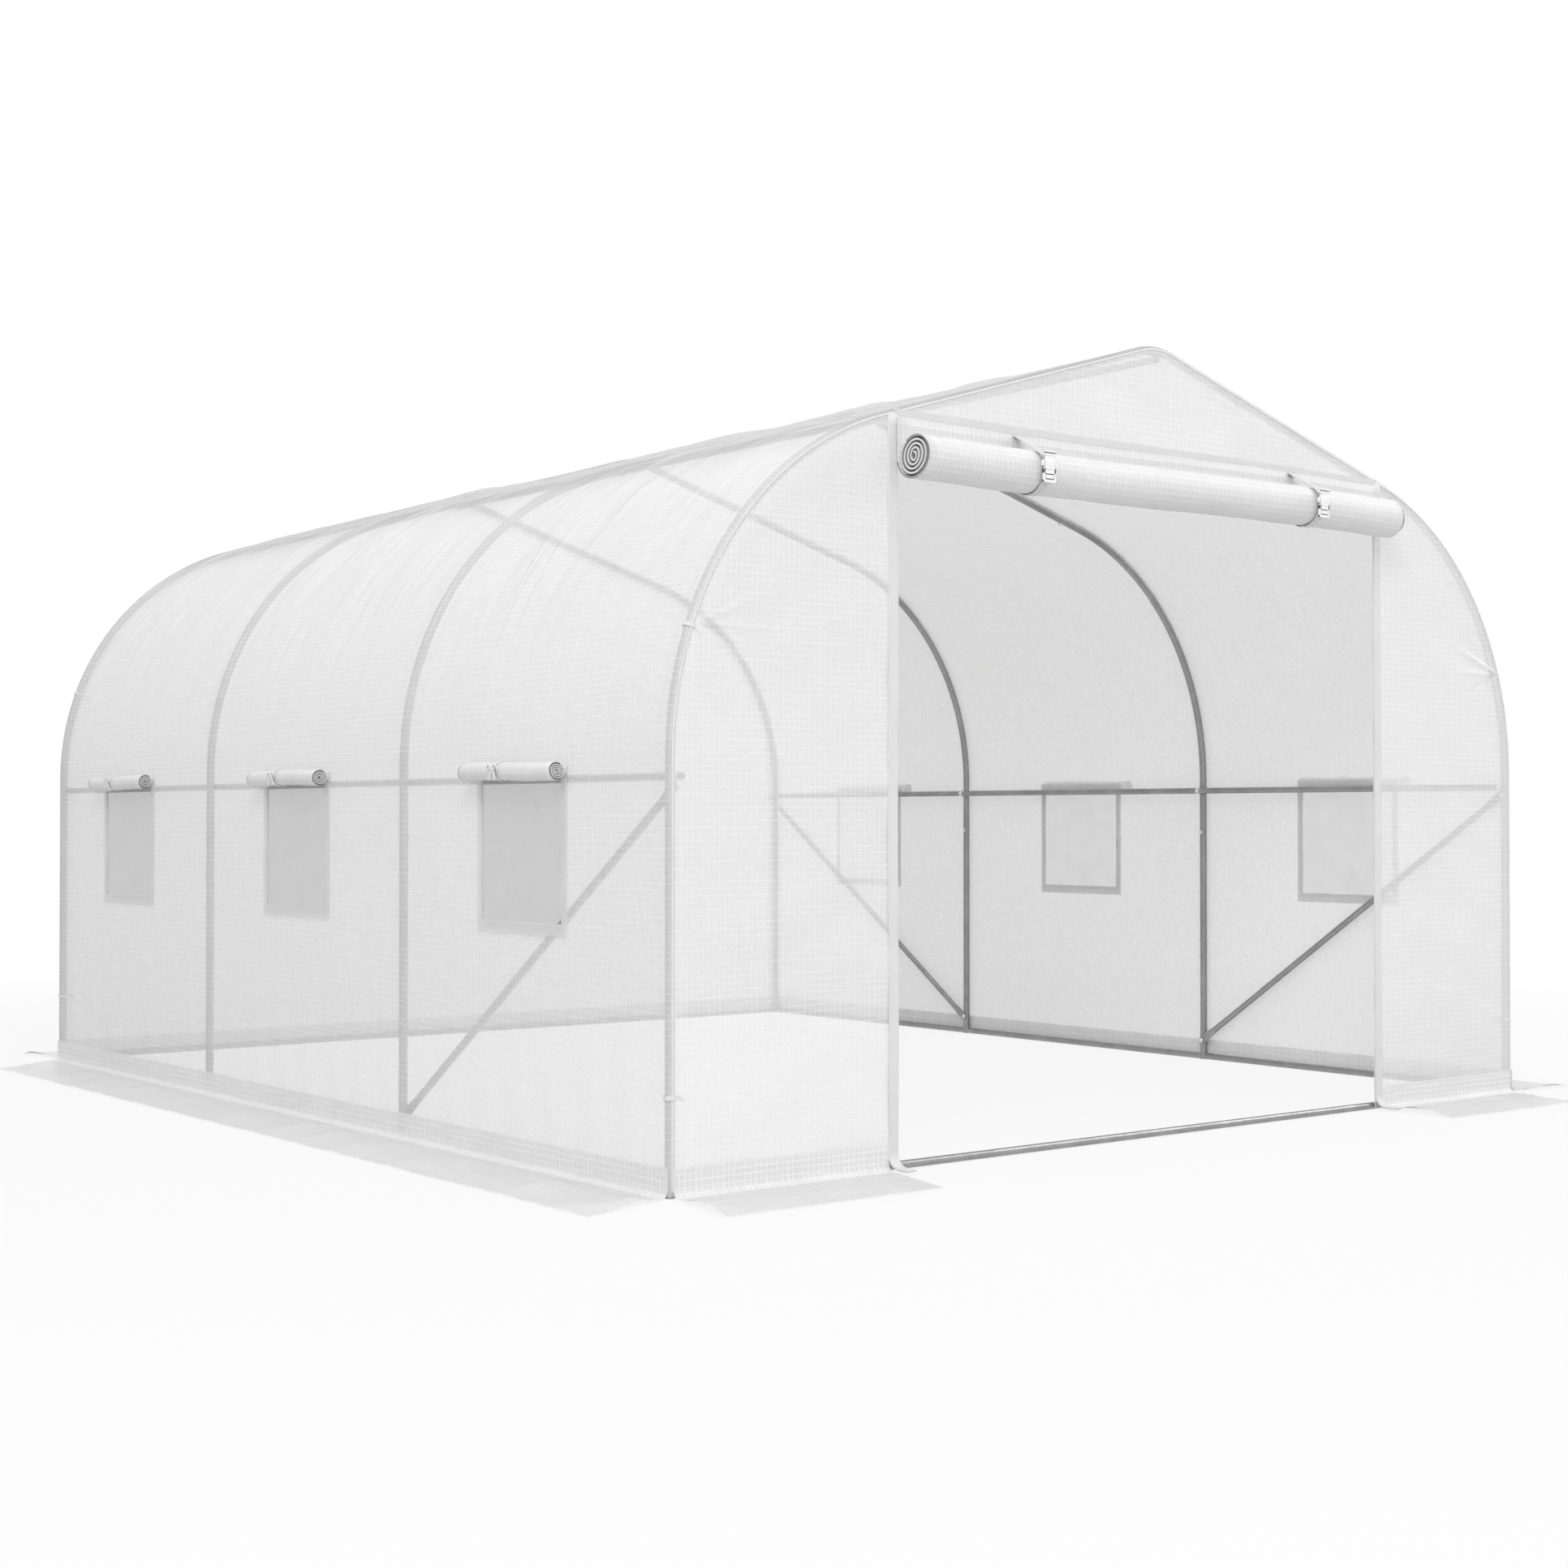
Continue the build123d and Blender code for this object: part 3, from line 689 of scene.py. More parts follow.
def make_cover():
    """One sheet from the left base over the ridge to the right base, turned in round the end hoops."""
    along = cover_lengthwise()
    turn = np.radians(np.arange(15, 91, 15))
    turned_in = film_offset * (np.cos(turn) - 1)
    turned_out, flat_turn = film_offset * np.sin(turn), film_offset * turn
    y = np.concatenate([hoop_places[0] - turned_out[::-1], along, half_length + turned_out])
    flat_y = np.concatenate([hoop_places[0] - flat_turn[::-1], along, half_length + flat_turn])
    inset = np.concatenate([turned_in[::-1], np.zeros(len(along)), turned_in])
    heights = [0.0, hole_bottom, hole_top, leg_height, leg_height + bend_run]
    half = [half_girth - height for height in heights] + [0.0]
    girth = divided(sorted({*half, *[-run for run in half]}), lambda run: girth_step)
    x, z, out_x, out_z = cover_section(girth)
    within = np.clip(y, hoop_places[0], half_length)
    relief = cover_relief(within[:, None], girth) + inset[:, None]
    points = columns(x + relief * out_x, y[:, None], np.maximum(z + relief * out_z, film_floor))
    flats = columns(flat_y[:, None], girth)
    height = half_girth - np.abs(girth)
    middle_y, middle_z = (y[:-1] + y[1:]) / 2, (height[:-1] + height[1:]) / 2
    window_rows = distance_to(bay_places, middle_y) < hole_half
    window_columns = (hole_bottom < middle_z) & (middle_z < hole_top)
    cut = np.logical_and.outer(window_rows, window_columns).ravel()
    faces = [face for face, gone in zip(grid_faces(len(y), len(girth)), cut) if not gone]
    used = sorted({index for face in faces for index in face})
    order = {index: count for count, index in enumerate(used)}
    faces = [tuple(order[index] for index in face) for face in faces]
    shape = Shape()
    shape.add(points.reshape(-1, 3)[used], faces, flats.reshape(-1, 2)[used])
    nodes = [f"{hand}_{side}_cover" for hand in ("left", "right") for side in ("wall", "shoulder", "roof")]
    piece = shape.finish("cover_sheet", cover_film, "woven_film", *nodes)


# End panels

panel_offset = 0.004
panel_step = 0.0165
weave_shift = 0.004
hem_width = 0.038
hem_fade = 0.02
tie_high_x = 1.458
tie_high_z = 1.221
tie_low_z = 0.212
tie_inset = 0.02
crease_step = 0.0055
crease_reach = 0.24
crease_rise = 0.13
panel_wave = 0.0016
panel_slack = 0.0011
panel_draw = 0.002  # how far the free film lies in from the face
high_crease_width = 0.0085
low_crease_width = 0.012
low_crease_height = 0.003
low_crease_reach = 0.2
low_crease_rise = 0.07
tie_creases = ((0.23, 0.09, 0.0066), (0.24, 0.0, 0.0052), (0.2, -0.09, -0.004))  # reach, drop and height


def arch_points(offset, step):
    """Outline of an end from the left base over the ridge to the right base."""
    girth = divided([-half_girth, 0, half_girth], lambda run: step)
    x, z, out_x, out_z = cover_section(girth)
    shift = offset - film_offset
    return columns(x + shift * out_x, z + shift * out_z), girth


def arch_half(z, offset):
    """Half width of an end at a height."""
    reach = shoulder_radius + offset
    rise = np.clip(z - leg_height, 0, reach)
    bend = shoulder_x + np.sqrt(reach**2 - rise**2)
    peak = virtual_peak + offset / pitch_cos
    slope = (peak - z) / pitch_tan
    on_slope = z > leg_height + reach * pitch_cos
    ridge = np.sqrt(np.maximum((apex_radius + offset) ** 2 - np.maximum(z - apex_z, 0) ** 2, 0))
    on_ridge = z > apex_z + (apex_radius + offset) * pitch_cos
    return np.where(on_ridge, ridge, np.where(on_slope, slope, bend))


def arch_distance(x, z):
    """Distance in from the hoop line of an end."""
    slope = (virtual_peak - np.abs(x) * pitch_tan - z) * pitch_cos
    bend = shoulder_radius - np.hypot(np.abs(x) - shoulder_x, z - leg_height)
    in_bend = (np.abs(x) > shoulder_x) & (z > leg_height)
    return np.minimum(np.minimum(slope, half_width - np.abs(x)), np.where(in_bend, bend, half_width))


def by_tie(x, z):
    """True where creases start at the upper ties of an end."""
    return (np.abs(x) > tie_high_x - crease_reach) & (np.abs(z - tie_high_z) < crease_rise)


def grid_points(floor, step):
    """Even points over an end and past it."""
    xs = np.arange(-half_width, half_width, step) + step / 2
    zs = np.arange(floor + step, virtual_peak, step)
    return columns(*np.meshgrid(xs, zs)).reshape(-1, 2)


def end_mesh(doorway):
    """Flat triangles that fill an end, with or without the doorway, finer by the upper ties."""
    arch, _ = arch_points(panel_offset, panel_step)
    arch[:, 1] = np.maximum(arch[:, 1], film_floor)
    floor = arch[-1, 1]
    corners = [tuple(arch[-1])]
    if doorway:
        corners += [(door_half, floor), (door_half, door_head), (-door_half, door_head), (-door_half, floor)]
    corners.append(tuple(arch[0]))
    sides = [
        side_points(start, end, max(1, round(math.dist(start, end) / panel_step)))
        for start, end in zip(corners, corners[1:])
    ]
    outline = np.concatenate([arch[:-1], *sides])
    coarse, fine = grid_points(floor, panel_step), grid_points(floor, crease_step)
    inner = np.concatenate([coarse[~by_tie(*coarse.T)], fine[by_tie(*fine.T)]])
    x, z = inner.T
    margin = panel_step * 0.55
    inside = np.abs(x) < arch_half(z + margin * 0.3, panel_offset - margin)
    if doorway:
        inside &= (np.abs(x) > door_half + margin) | (z > door_head + margin)
    points = [Vector(point) for point in np.concatenate([outline, inner[inside]])]
    made = delaunay_2d_cdt(points, [], [list(range(len(outline)))], 1, 1e-6)
    return np.array([tuple(point) for point in made[0]]), made[2]


def crease(x, z, start, end, width, height):
    """Ridge from start to end that fades towards its end."""
    length = math.dist(start, end)
    along_x, along_z = (end[0] - start[0]) / length, (end[1] - start[1]) / length
    run = (x - start[0]) * along_x + (z - start[1]) * along_z
    aside = (z - start[1]) * along_x - (x - start[0]) * along_z
    taper = ease(-0.02, 0.03, run) * (1 - ease(0.2 * length, length, run))
    return height * bump(aside, width * (0.5 + 0.9 * np.clip(run / length, 0, 1))) * taper


def end_relief(x, z, seed):
    """Slack and creases of an end panel; positive stands out from the tunnel."""
    edge = np.minimum(arch_half(z, 0) - np.abs(x), virtual_peak - z)
    free = ease(0.01, 0.13, edge)
    wave = panel_wave * np.sin(x * 15 + seed + 1.6 * np.sin(z * 6.1)) * np.sin(z * 8.3 + x * 4)
    slack = panel_slack * np.sin(z * 33 + 2.2 * np.sin(x * 9 + seed))
    relief = free * (wave + slack - panel_draw)
    for hand in (-1, 1):
        strength = 1.0 if hand * seed > 0 else 0.55
        tie_x, low_x = hand * (tie_high_x - tie_inset), hand * (half_width - tie_inset)
        for reach, drop, height in tie_creases:
            end = (tie_x - hand * reach, tie_high_z + drop)
            relief += crease(x, z, (tie_x, tie_high_z), end, high_crease_width, height * strength)
        low_end = (low_x - hand * low_crease_reach, tie_low_z + low_crease_rise)
        low_height = low_crease_height * strength
        relief += crease(x, z, (low_x, tie_low_z), low_end, low_crease_width, low_height)
    return relief


def make_end(name, doorway, *nodes):
    """End panel: gives the piece, its flat size and its area."""
    flat, faces = end_mesh(doorway)
    side, seed = (-1, 1.0) if doorway else (1, -1.7)
    x, z = flat.T
    shape = Shape()
    y = side * (end_face + end_relief(x, z, seed))
    shape.add(columns(x, y, z), faces, flat + weave_shift, turned=not doorway)
    piece = shape.finish(name, film, "woven_film", *nodes)
    doubled = piece.data.attributes.new("doubled", "FLOAT", "POINT")
    doubled.data.foreach_set("value", 1 - ease(hem_width - hem_fade, hem_width, arch_distance(x, z)))
    a, b, c = flat[np.array([face for face in faces if len(face) == 3])].transpose(1, 0, 2)
    area = np.abs((b - a)[:, 0] * (c - a)[:, 1] - (b - a)[:, 1] * (c - a)[:, 0]).sum() / 2
    return piece, (2 * half_width, z.max()), float(area)


# Skirts on the ground

skirt_bend = 0.02
skirt_lift = 0.0025
skirt_step = 0.013
skirt_gap = 0.0012
foot_x = half_width + film_offset + skirt_gap
foot_y = end_face + skirt_gap
skirt_door_gap = 0.03
skirt_fold_height = 0.0095
root_fold_height = 0.0045
root_fold_width = 0.008
root_fold_places = (0.05, 0.084)
fray_in = 0.003
fray_out = 0.0015
door_side = door_half + skirt_door_gap
skirts = (  # sheet, node, start, end, outward, flares at either end and phase of the folds
    ("left", "left_skirt", (-foot_x, -end_face), (-foot_x, end_face), (-1, 0), (0.075, -0.16), 0.4),
    ("right", "right_skirt", (foot_x, -end_face), (foot_x, end_face), (1, 0), (0.03, 0.05), 1.9),
    ("front_left", "front_skirts", (-half_width, -foot_y), (-door_side, -foot_y),
     (0, -1), (0.045, -0.06), 2.6),
    ("front_right", "front_skirts", (door_side, -foot_y), (half_width, -foot_y),
     (0, -1), (0.02, -0.06), 4.4),
    ("back", "back_skirt", (-half_width, foot_y), (half_width, foot_y), (0, 1), (0.05, 0.03), 5.3),
)


def make_skirt(name, node_name, start, end, outward, flares, phase):
    """Strip from the foot of a wall out over the ground; flares lengthen its free edge at either end."""
    start, end = np.array(start), np.array(end)
    along = end - start
    length = float(np.linalg.norm(along))
    along = along / length
    shares = np.linspace(0, 1, round(length / skirt_step) + 1)
    bend = np.radians((15, 35, 55, 75, 90))
    reach = np.linspace(skirt_bend, skirt_width, 24)[1:]
    out = np.concatenate([[0, 0], skirt_bend * (1 - np.cos(bend)), reach])
    lift = np.concatenate([[skirt_root, skirt_bend], skirt_bend * (1 - np.sin(bend)), np.zeros(len(reach))])
    across = run_lengths(columns(out, lift))
    s, w = np.meshgrid(shares * length, np.arange(len(out)), indexing="ij")
    away = out[w]
    sway = 2.2 * np.sin(s * 4.3 + phase)
    swell = np.sin(s * 21 - 9 * away + phase + sway) + 0.5 * np.sin(s * 37 + 12 * away)
    lying = 1 - 0.85 * ease(skirt_width - 0.075, skirt_width - 0.01, away)
    across_folds = skirt_fold_height * ease(0.03, 0.11, away) * np.clip(swell, 0, None) * lying
    root_folds = root_fold_height * sum(
        bump(away - place - 0.006 * np.sin(s * 6 + 5 * place * 40), root_fold_width)
        for place in root_fold_places
    )
    rise = across_folds + root_folds * (0.6 + 0.4 * np.sin(s * 5 + phase))
    fray = np.where(w == len(out) - 1, draws.uniform(-fray_in, fray_out, s.shape), 0)
    edge = 0.0015 * np.sin(s * 11 + phase) * ease(0.04, skirt_width, away) + fray
    spread = away / skirt_width
    shift = (s / length) * flares[1] * spread - (1 - s / length) * flares[0] * spread
    plan = start + (s + shift)[..., None] * along + (away + edge)[..., None] * np.array(outward)
    points = columns(plan[..., 0], plan[..., 1], lift[w] + rise + skirt_lift)
    looks_down = along[0] * outward[1] - along[1] * outward[0] <= 0
    shape = Shape()
    shape.add(points, grid_faces(len(shares), len(out)), columns(s, across[w]), turned=looks_down)
    piece = shape.finish(name, skirt_film, "woven_film", node_name)


# Sewn edges

jamb_width = 0.03
jamb_bend = 0.034
jamb_foot = 0.03
jamb_thickness = 0.005
jamb_stitch_share = 0.36
header_height = 0.036
header_thickness = 0.0014
header_stitch_share = 0.4
header_seam = door_head + header_height / 2
header_lift = 0.0006
header_stitch_lift = 0.0008
sewn_sway = 0.0012
seam_width = 0.0046
seam_thickness = 0.002
seam_offset = film_offset + 0.0004
seam_step = 0.02
seam_floor = 0.004
seam_turn = math.radians(78)


def jamb_path(x):
    """Middle line of a jamb binding, from the arch down, then out over the skirt."""
    up_slope = (abs(x) - ridge_reach * pitch_sin) / pitch_cos
    top = cover_section(ridge_run + up_slope)[1] - film_offset
    foot = skirt_lift + jamb_thickness
    down = np.linspace(top, foot + jamb_bend, 60)
    turn = np.radians(np.arange(10, 91, 10))
    bend_y = -end_face - jamb_bend + jamb_bend * np.cos(turn)
    bend_z = foot + jamb_bend - jamb_bend * np.sin(turn)
    out = -end_face - jamb_bend - np.linspace(0, jamb_foot, 4)[1:]
    y = np.concatenate([np.full(len(down), -end_face), bend_y, out])
    z = np.concatenate([down, bend_z, np.full(len(out), foot)])
    return columns(x + sewn_sway * np.sin(z * 7 + x), y, z)


def make_jambs(stitches):
    """Bindings down both sides of the doorway."""
    shape = Shape()
    for side in (-1, 1):
        path = jamb_path(side * (door_half + jamb_width / 2))
        add_band(shape, path, (1, 0, 0), jamb_width, jamb_thickness)
        proud = unit(np.cross((1, 0, 0), tangents(path)))
        proud = proud * -np.sign(proud[0, 1])
        for share in (-jamb_stitch_share, jamb_stitch_share):
            add_stitches(stitches, path + (share * jamb_width, 0, 0) + proud * jamb_thickness / 2, proud)
    return shape.finish("jamb_bindings", jamb_tape, "woven_film", "door_jambs")


def make_header(stitches):
    """Hem over the doorway, from which the door hangs."""
    shape = Shape()
    x = np.linspace(-door_half - jamb_width / 2, door_half + jamb_width / 2, 90)
    path = columns(x, -end_face - header_lift, header_seam + sewn_sway * np.sin(x * 6))
    add_band(shape, path, (0, 0, 1), header_height, header_thickness, 0.02)
    for share in (-header_stitch_share, header_stitch_share):
        add_stitches(stitches, path + (0, -header_stitch_lift, share * header_height), (0, -1, 0))
    return shape.finish("header_hem", header_tape, "woven_film", "door_header")


def make_seam(name, side):
    """Seam between the cover and an end panel, along the arch."""
    shape = Shape()
    flat, girth = arch_points(seam_offset * math.cos(seam_turn), seam_step)
    depth = half_length + seam_offset * math.sin(seam_turn)
    path = columns(flat[:, 0], side * depth, np.maximum(flat[:, 1], seam_floor))
    out_x, out_z = cover_section(girth)[2:]
    across = columns(out_x * math.sin(seam_turn), -side * math.cos(seam_turn), out_z * math.sin(seam_turn))
    add_band(shape, path, across, seam_width, seam_thickness)
    return shape.finish(name, seam_tape, "woven_film")


# Rolled flaps

painted_outline_turn = 5.2  # how far round, in radians, the outer ring of a roll's end is painted dark: painted shade
roll_low, roll_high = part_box("door_roll")
door_roll_radius = 0.0535
door_roll_pitch = 0.0098
door_roll_turns = 4.8
door_roll_thickness = 0.0048
door_roll_margin = 0.002
door_roll_y = roll_low.y + door_roll_radius + door_roll_margin
door_roll_z = roll_low.z + door_roll_radius + door_roll_margin
door_tail = header_seam - door_roll_z
strap_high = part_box("door_straps")[1]
strap_width = 0.025
strap_gap = 0.0022
strap_end_drop = 0.004
strap_thickness = 0.0019
strap_back_gap = 0.0038
strap_back_thickness = 0.0016
strap_x = strap_high.x - strap_width / 2


def roll_section(radius, pitch, turns, tail, per_turn):
    """Section of a rolled flap, (towards the wall, up): down its tail, then in along the spiral."""
    angle = np.linspace(0, 2 * math.pi * turns, round(per_turn * turns) + 1)
    reach = radius - pitch * angle / (2 * math.pi)
    spiral = columns(reach * np.cos(angle), -reach * np.sin(angle))
    rise = np.linspace(tail, 0, 6)[:-1]
    return np.concatenate([columns(radius, rise), spiral]), np.concatenate([np.zeros(len(rise)), angle])


def add_rolled(shape, section, angles, stations, thickness, place, dents, turned=False):
    """Closed rolled sheet: its section at each station along the roll; gives the length of the section."""
    along = tangents(section)
    proud = columns(along[:, 1], -along[:, 0])
    lengths = run_lengths(section)
    rows, count = len(stations), len(section)
    skins = [
        [place(at, section * dents(at, angles)[:, None] + proud * edge, angles) for at in stations]
        for edge in (thickness / 2, -thickness / 2)
    ]
    flats = columns(stations[:, None], lengths)
    inner = grid_faces(rows, count)
    second = rows * count
    faces = inner + [tuple(index + second for index in face[::-1]) for face in inner]
    ends = ((0, 1, count, -1), (second - count, 1, count, 1))
    edges = ((0, count, rows, 1), (count - 1, count, rows, -1))
    for start, stride, places, order in ends + edges:
        for low in range(start, start + stride * (places - 1), stride):
            high = low + stride
            faces.append((low, high, second + high, second + low)[::order])
    # Kind 1 is painted shade: the skins that face into the gaps between the turns, and the outer ring of the
    # spiral at both ends.
    turned_in = [angles[face[0] % count] for face in inner]
    kinds = [int(angle > limit) for limit in (0.9, 2 * math.pi) for angle in turned_in]
    kinds += 2 * [int(0 < angle < painted_outline_turn) for angle in angles[:-1]]
    kinds += [0] * (len(faces) - len(kinds))
    shape.add(skins, faces, [flats, flats], kinds, turned)
    return float(lengths[-1])


def roll_sag(x):
    return 0.003 * math.sin(x * 4.2) - 0.002


def by_end(station, half, reach):
    """From 0 to 1, with the sign of its side, over the last stretch of a roll."""
    return np.clip((abs(station) - half + reach) / reach, 0, 1) * math.copysign(1, station)


def make_door_roll():
    """Rolled door under the header, a little uneven, pinched by its straps."""
    section, angles = roll_section(door_roll_radius, door_roll_pitch, door_roll_turns, door_tail, 34)
    by_straps = [side * strap_x + np.linspace(-0.05, 0.05, 9) for side in (-1, 1)]
    stations = np.unique(np.concatenate([np.linspace(roll_low.x, roll_high.x, 46), *by_straps]))

    def dents(station, turn):
        pinch = sum(bump(station - side * strap_x, 0.03) for side in (-1, 1)) * 0.025
        ripple = 0.014 * np.sin(station * 13 + 2 * turn) + 0.011 * np.sin(station * 31 - 3 * turn)
        return 1 - np.exp(-turn / 9) * (pinch - ripple * (turn > 0.3))

    def place(station, flat, turn):
        end = by_end(station, roll_high.x, 0.04)
        slip = end * 0.0028 * np.sin(turn * 0.9 + 1.1)
        short = 0.016 * end * (turn > 0) * (1 - ease(5.7, 6.3, turn)) if station > 0 else 0
        height = door_roll_z + roll_sag(station) + flat[:, 1]
        return columns(station + slip - short, door_roll_y + flat[:, 0], height)

    shape = Shape()
    length = add_rolled(shape, section, angles, stations, door_roll_thickness, place, dents)
    piece = shape.finish("rolled_door", rolled_film, "woven_film", "door_roll")
    # Painted shade in the gaps of the roll and on the outer ring of its ends
    piece.data.materials.append(painted_shade_film)


# Straps and buckles of the door

buckle_low, buckle_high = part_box("door_buckles")
buckle_sink = 0.0005
buckle_bars = (  # half width, low, high, corner and depth
    (0.0152, -0.007, 0.0175, 0.004, 0.008),
    (0.0125, 0.0005, 0.0125, 0.004, 0.0092),
    (0.0125, 0.016, 0.029, 0.0015, 0.0046),
    (0.021, 0.0265, 0.031, 0.002, 0.0066),
    (0.021, 0.0338, 0.0375, 0.0012, 0.0066),
    (0.0195, -0.0165, -0.004, 0.001, 0.006),
    (0.0125, -0.0282, -0.0192, 0.0012, 0.0066),
    (0.0195, -0.0375, -0.0308, 0.0015, 0.0062),
)
buckle_side_bars = (  # outer and inner edge, low, high, corner and depth
    (0.0222, 0.0182, 0.001, 0.0145, 0.002, 0.0056),
    (0.021, 0.0168, 0.0265, 0.0375, 0.0015, 0.006),
    (0.0195, 0.0148, -0.0375, -0.004, 0.0015, 0.006),
)
# Dark plates of painted shade in the buckle's slots: half width, low, high, corner and depth
buckle_slot_painted_shade = (
    (0.0172, 0.0285, 0.036, 0.001, 0.0024),
    (0.015, -0.0315, -0.016, 0.001, 0.0024),
)
# Dark plates of painted shade in the slots at both sides: outer and inner edge, low, high, corner and depth
buckle_side_slot_painted_shade = (
    (0.0192, 0.0145, 0.002, 0.0135, 0.001, 0.0024),
    (0.0205, 0.0172, 0.0308, 0.0341, 0.0014, 0.0071),
    (0.0182, 0.0156, -0.0142, -0.0116, 0.0012, 0.0067),
)


def strap_path(x):
    """Loop of webbing: from the header seam over the roll, down its front, under it and back up."""
    reach = door_roll_radius + strap_gap
    turn = np.linspace(2 * math.atan2(door_tail, reach), 2 * math.pi, 46)
    arc = columns(reach * np.cos(turn), reach * np.sin(turn))
    seam = np.array((reach, door_tail))
    rise = seam + np.linspace(0, 1, 9)[:-1, None] * (arc[0] - seam)
    back = arc[-1] + np.linspace(0, 1, 9)[1:, None] * (seam - (strap_gap, strap_end_drop) - arc[-1])
    flat = np.concatenate([rise, arc, back])
    return columns(x, door_roll_y + flat[:, 0], door_roll_z + roll_sag(x) + flat[:, 1])


def strap_back(x):
    """Rear length of a strap, from the header seam down in front of the flap until the roll hides it."""
    z = np.linspace(door_head + header_height / 4, door_roll_z + door_roll_radius * 0.3, 8)
    return columns(x, door_roll_y + door_roll_radius - strap_back_gap, z)


def add_plate(shape, outline, middle, depth, kind, chamfer=0.0008):
    """Plate with a chamfered front: outline in x and z about the middle, growing towards the front."""
    centre = outline.mean(axis=0)
    inset = centre + (outline - centre) * (1 - chamfer / np.abs(outline - centre).max())
    layers = ((outline, 0), (outline, depth - chamfer), (inset, depth))
    x, y, z = middle
    rings = [columns(x + flat[:, 0], y - height, z + flat[:, 1]) for flat, height in layers]
    shape.add_rings(np.stack(rings), kind=kind)


def rounded(left, right, low, high, corner):
    """Rectangle with rounded corners as an outline."""
    right, high = right - corner, high - corner
    left, low = left + corner, low + corner
    centres = ((right, high), (left, high), (left, low), (right, low))
    turns = [np.radians(np.arange(first, first + 91, 30)) for first in (0, 90, 180, 270)]
    return np.concatenate([
        columns(x + corner * np.cos(turn), z + corner * np.sin(turn)) for (x, z), turn in zip(centres, turns)
    ])


def add_plates(shape, middle, kind, plates, side_plates):
    """Plates across the middle of a buckle, then those that stand at both its sides."""
    for half, low, high, corner, depth in plates:
        add_plate(shape, rounded(-half, half, low, high, corner), middle, depth, kind)
    for hand in (-1, 1):
        for outer, inner, low, high, corner, depth in side_plates:
            edges = sorted((hand * outer, hand * inner))
            add_plate(shape, rounded(*edges, low, high, corner), middle, depth, kind)


def make_straps():
    straps, buckles = Shape(), Shape()
    for side in (-1, 1):
        x = side * strap_x
        add_band(straps, strap_path(x), (1, 0, 0), strap_width, strap_thickness)
        add_band(straps, strap_back(x), (1, 0, 0), strap_width, strap_back_thickness)
        middle = (x, buckle_high.y + buckle_sink, (buckle_low.z + buckle_high.z) / 2)
        add_plates(buckles, middle, 0, buckle_bars, buckle_side_bars)
        # Kind 1: dark plates of painted shade in the slots
        add_plates(buckles, middle, 1, buckle_slot_painted_shade, buckle_side_slot_painted_shade)
    straps.finish("strap_loops", webbing, "webbing", "door_straps")
    piece = buckles.finish("strap_buckles", plastic, "buckle_plastic", "door_buckles", smooth=False)
    # Second material: painted shade for the slot plates
    piece.data.materials.append(slot_painted_shade)


# Windows

window_roll_low, window_roll_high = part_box("window_rolls")
window_roll_radius = 0.0225
window_roll_pitch = 0.0048
window_roll_turns = 4.2
window_roll_thickness = 0.0026
window_roll_half = window_roll_high.y - bay_places[-1]
window_roll_margin = 0.0015
window_roll_x = window_roll_high.x - window_roll_radius - window_roll_margin
window_roll_z = window_roll_low.z + window_roll_radius + window_roll_margin
window_seam_drop = 0.004
window_tail = window_top - window_seam_drop - window_roll_z
window_face = half_width + film_offset
tape_loops = (  # inset at the sides, inset at the ends and rise over the film
    (0.0, 0.0, 0.0002),
    (0.0012, 0.0012, 0.0022),
    (0.017, 0.025, 0.0024),
    (window_side_binding, window_end_binding, 0.0016),
    (window_side_binding, window_end_binding, -0.0034),
    (0.003, 0.004, -0.0034),
)
tape_side_points = 14
tape_wobble = 0.0007
screen_margin = 0.012
screen_points = 16
screen_depth = 0.0025
screen_slack = 0.004
tie_place = 0.16 * window_roll_half
tie_reach = window_roll_radius * 0.96 + 0.002
tie_width = 0.007
tie_thickness = 0.0014
knot_proud = 0.003
knot_rise = 0.004
knot_size = 0.0042
knot_cord_radius = 0.0022
tie_end_width = 0.0055
tie_end_thickness = 0.0012


def add_window_frame(shape, stitches, side, y):
    """Tape round a window, turned in over the cut edge of the film."""
    rows, flats = [], []
    for inset_y, inset_z, proud in tape_loops:
        left, right = y - window_half + inset_y, y + window_half - inset_y
        low, high = window_bottom + inset_z, window_top - inset_z
        corners = [(left, low), (right, low), (right, high), (left, high), (left, low)]
        ring = np.concatenate([side_points(a, b, tape_side_points) for a, b in zip(corners, corners[1:])])
        wobble = tape_wobble * np.sin(ring[:, 0] * 37 + ring[:, 1] * 29)
        rows.append(columns(side * (window_face + proud + wobble), ring[:, 0], ring[:, 1]))
        flats.append(ring)
    faces = grid_faces(len(rows), 4 * tape_side_points, closed=True)
    shape.add(rows, faces, flats, turned=side > 0)
    for row in rows[1:3]:
        add_stitches(stitches, np.concatenate([row, row[:1]]), (side, 0, 0))


def add_screen(shape, side, y):
    """Mesh behind a window, a little slack."""
    half, middle = hole_half + screen_margin, (hole_bottom + hole_top) / 2
    across = np.linspace(-half, half, screen_points)
    up = np.linspace(hole_bottom - screen_margin, hole_top + screen_margin, screen_points)
    a, z = np.meshgrid(across, up, indexing="ij")
    slack = np.cos(a / half * math.pi / 2) * np.cos((z - middle) / (up[-1] - middle) * math.pi / 2)
    x = side * (window_face - screen_depth - screen_slack * slack * (0.6 + 0.4 * np.sin(a * 30 + y)))
    shape.add(columns(x, y + a, z), grid_faces(screen_points, screen_points), columns(a, z), turned=side < 0)


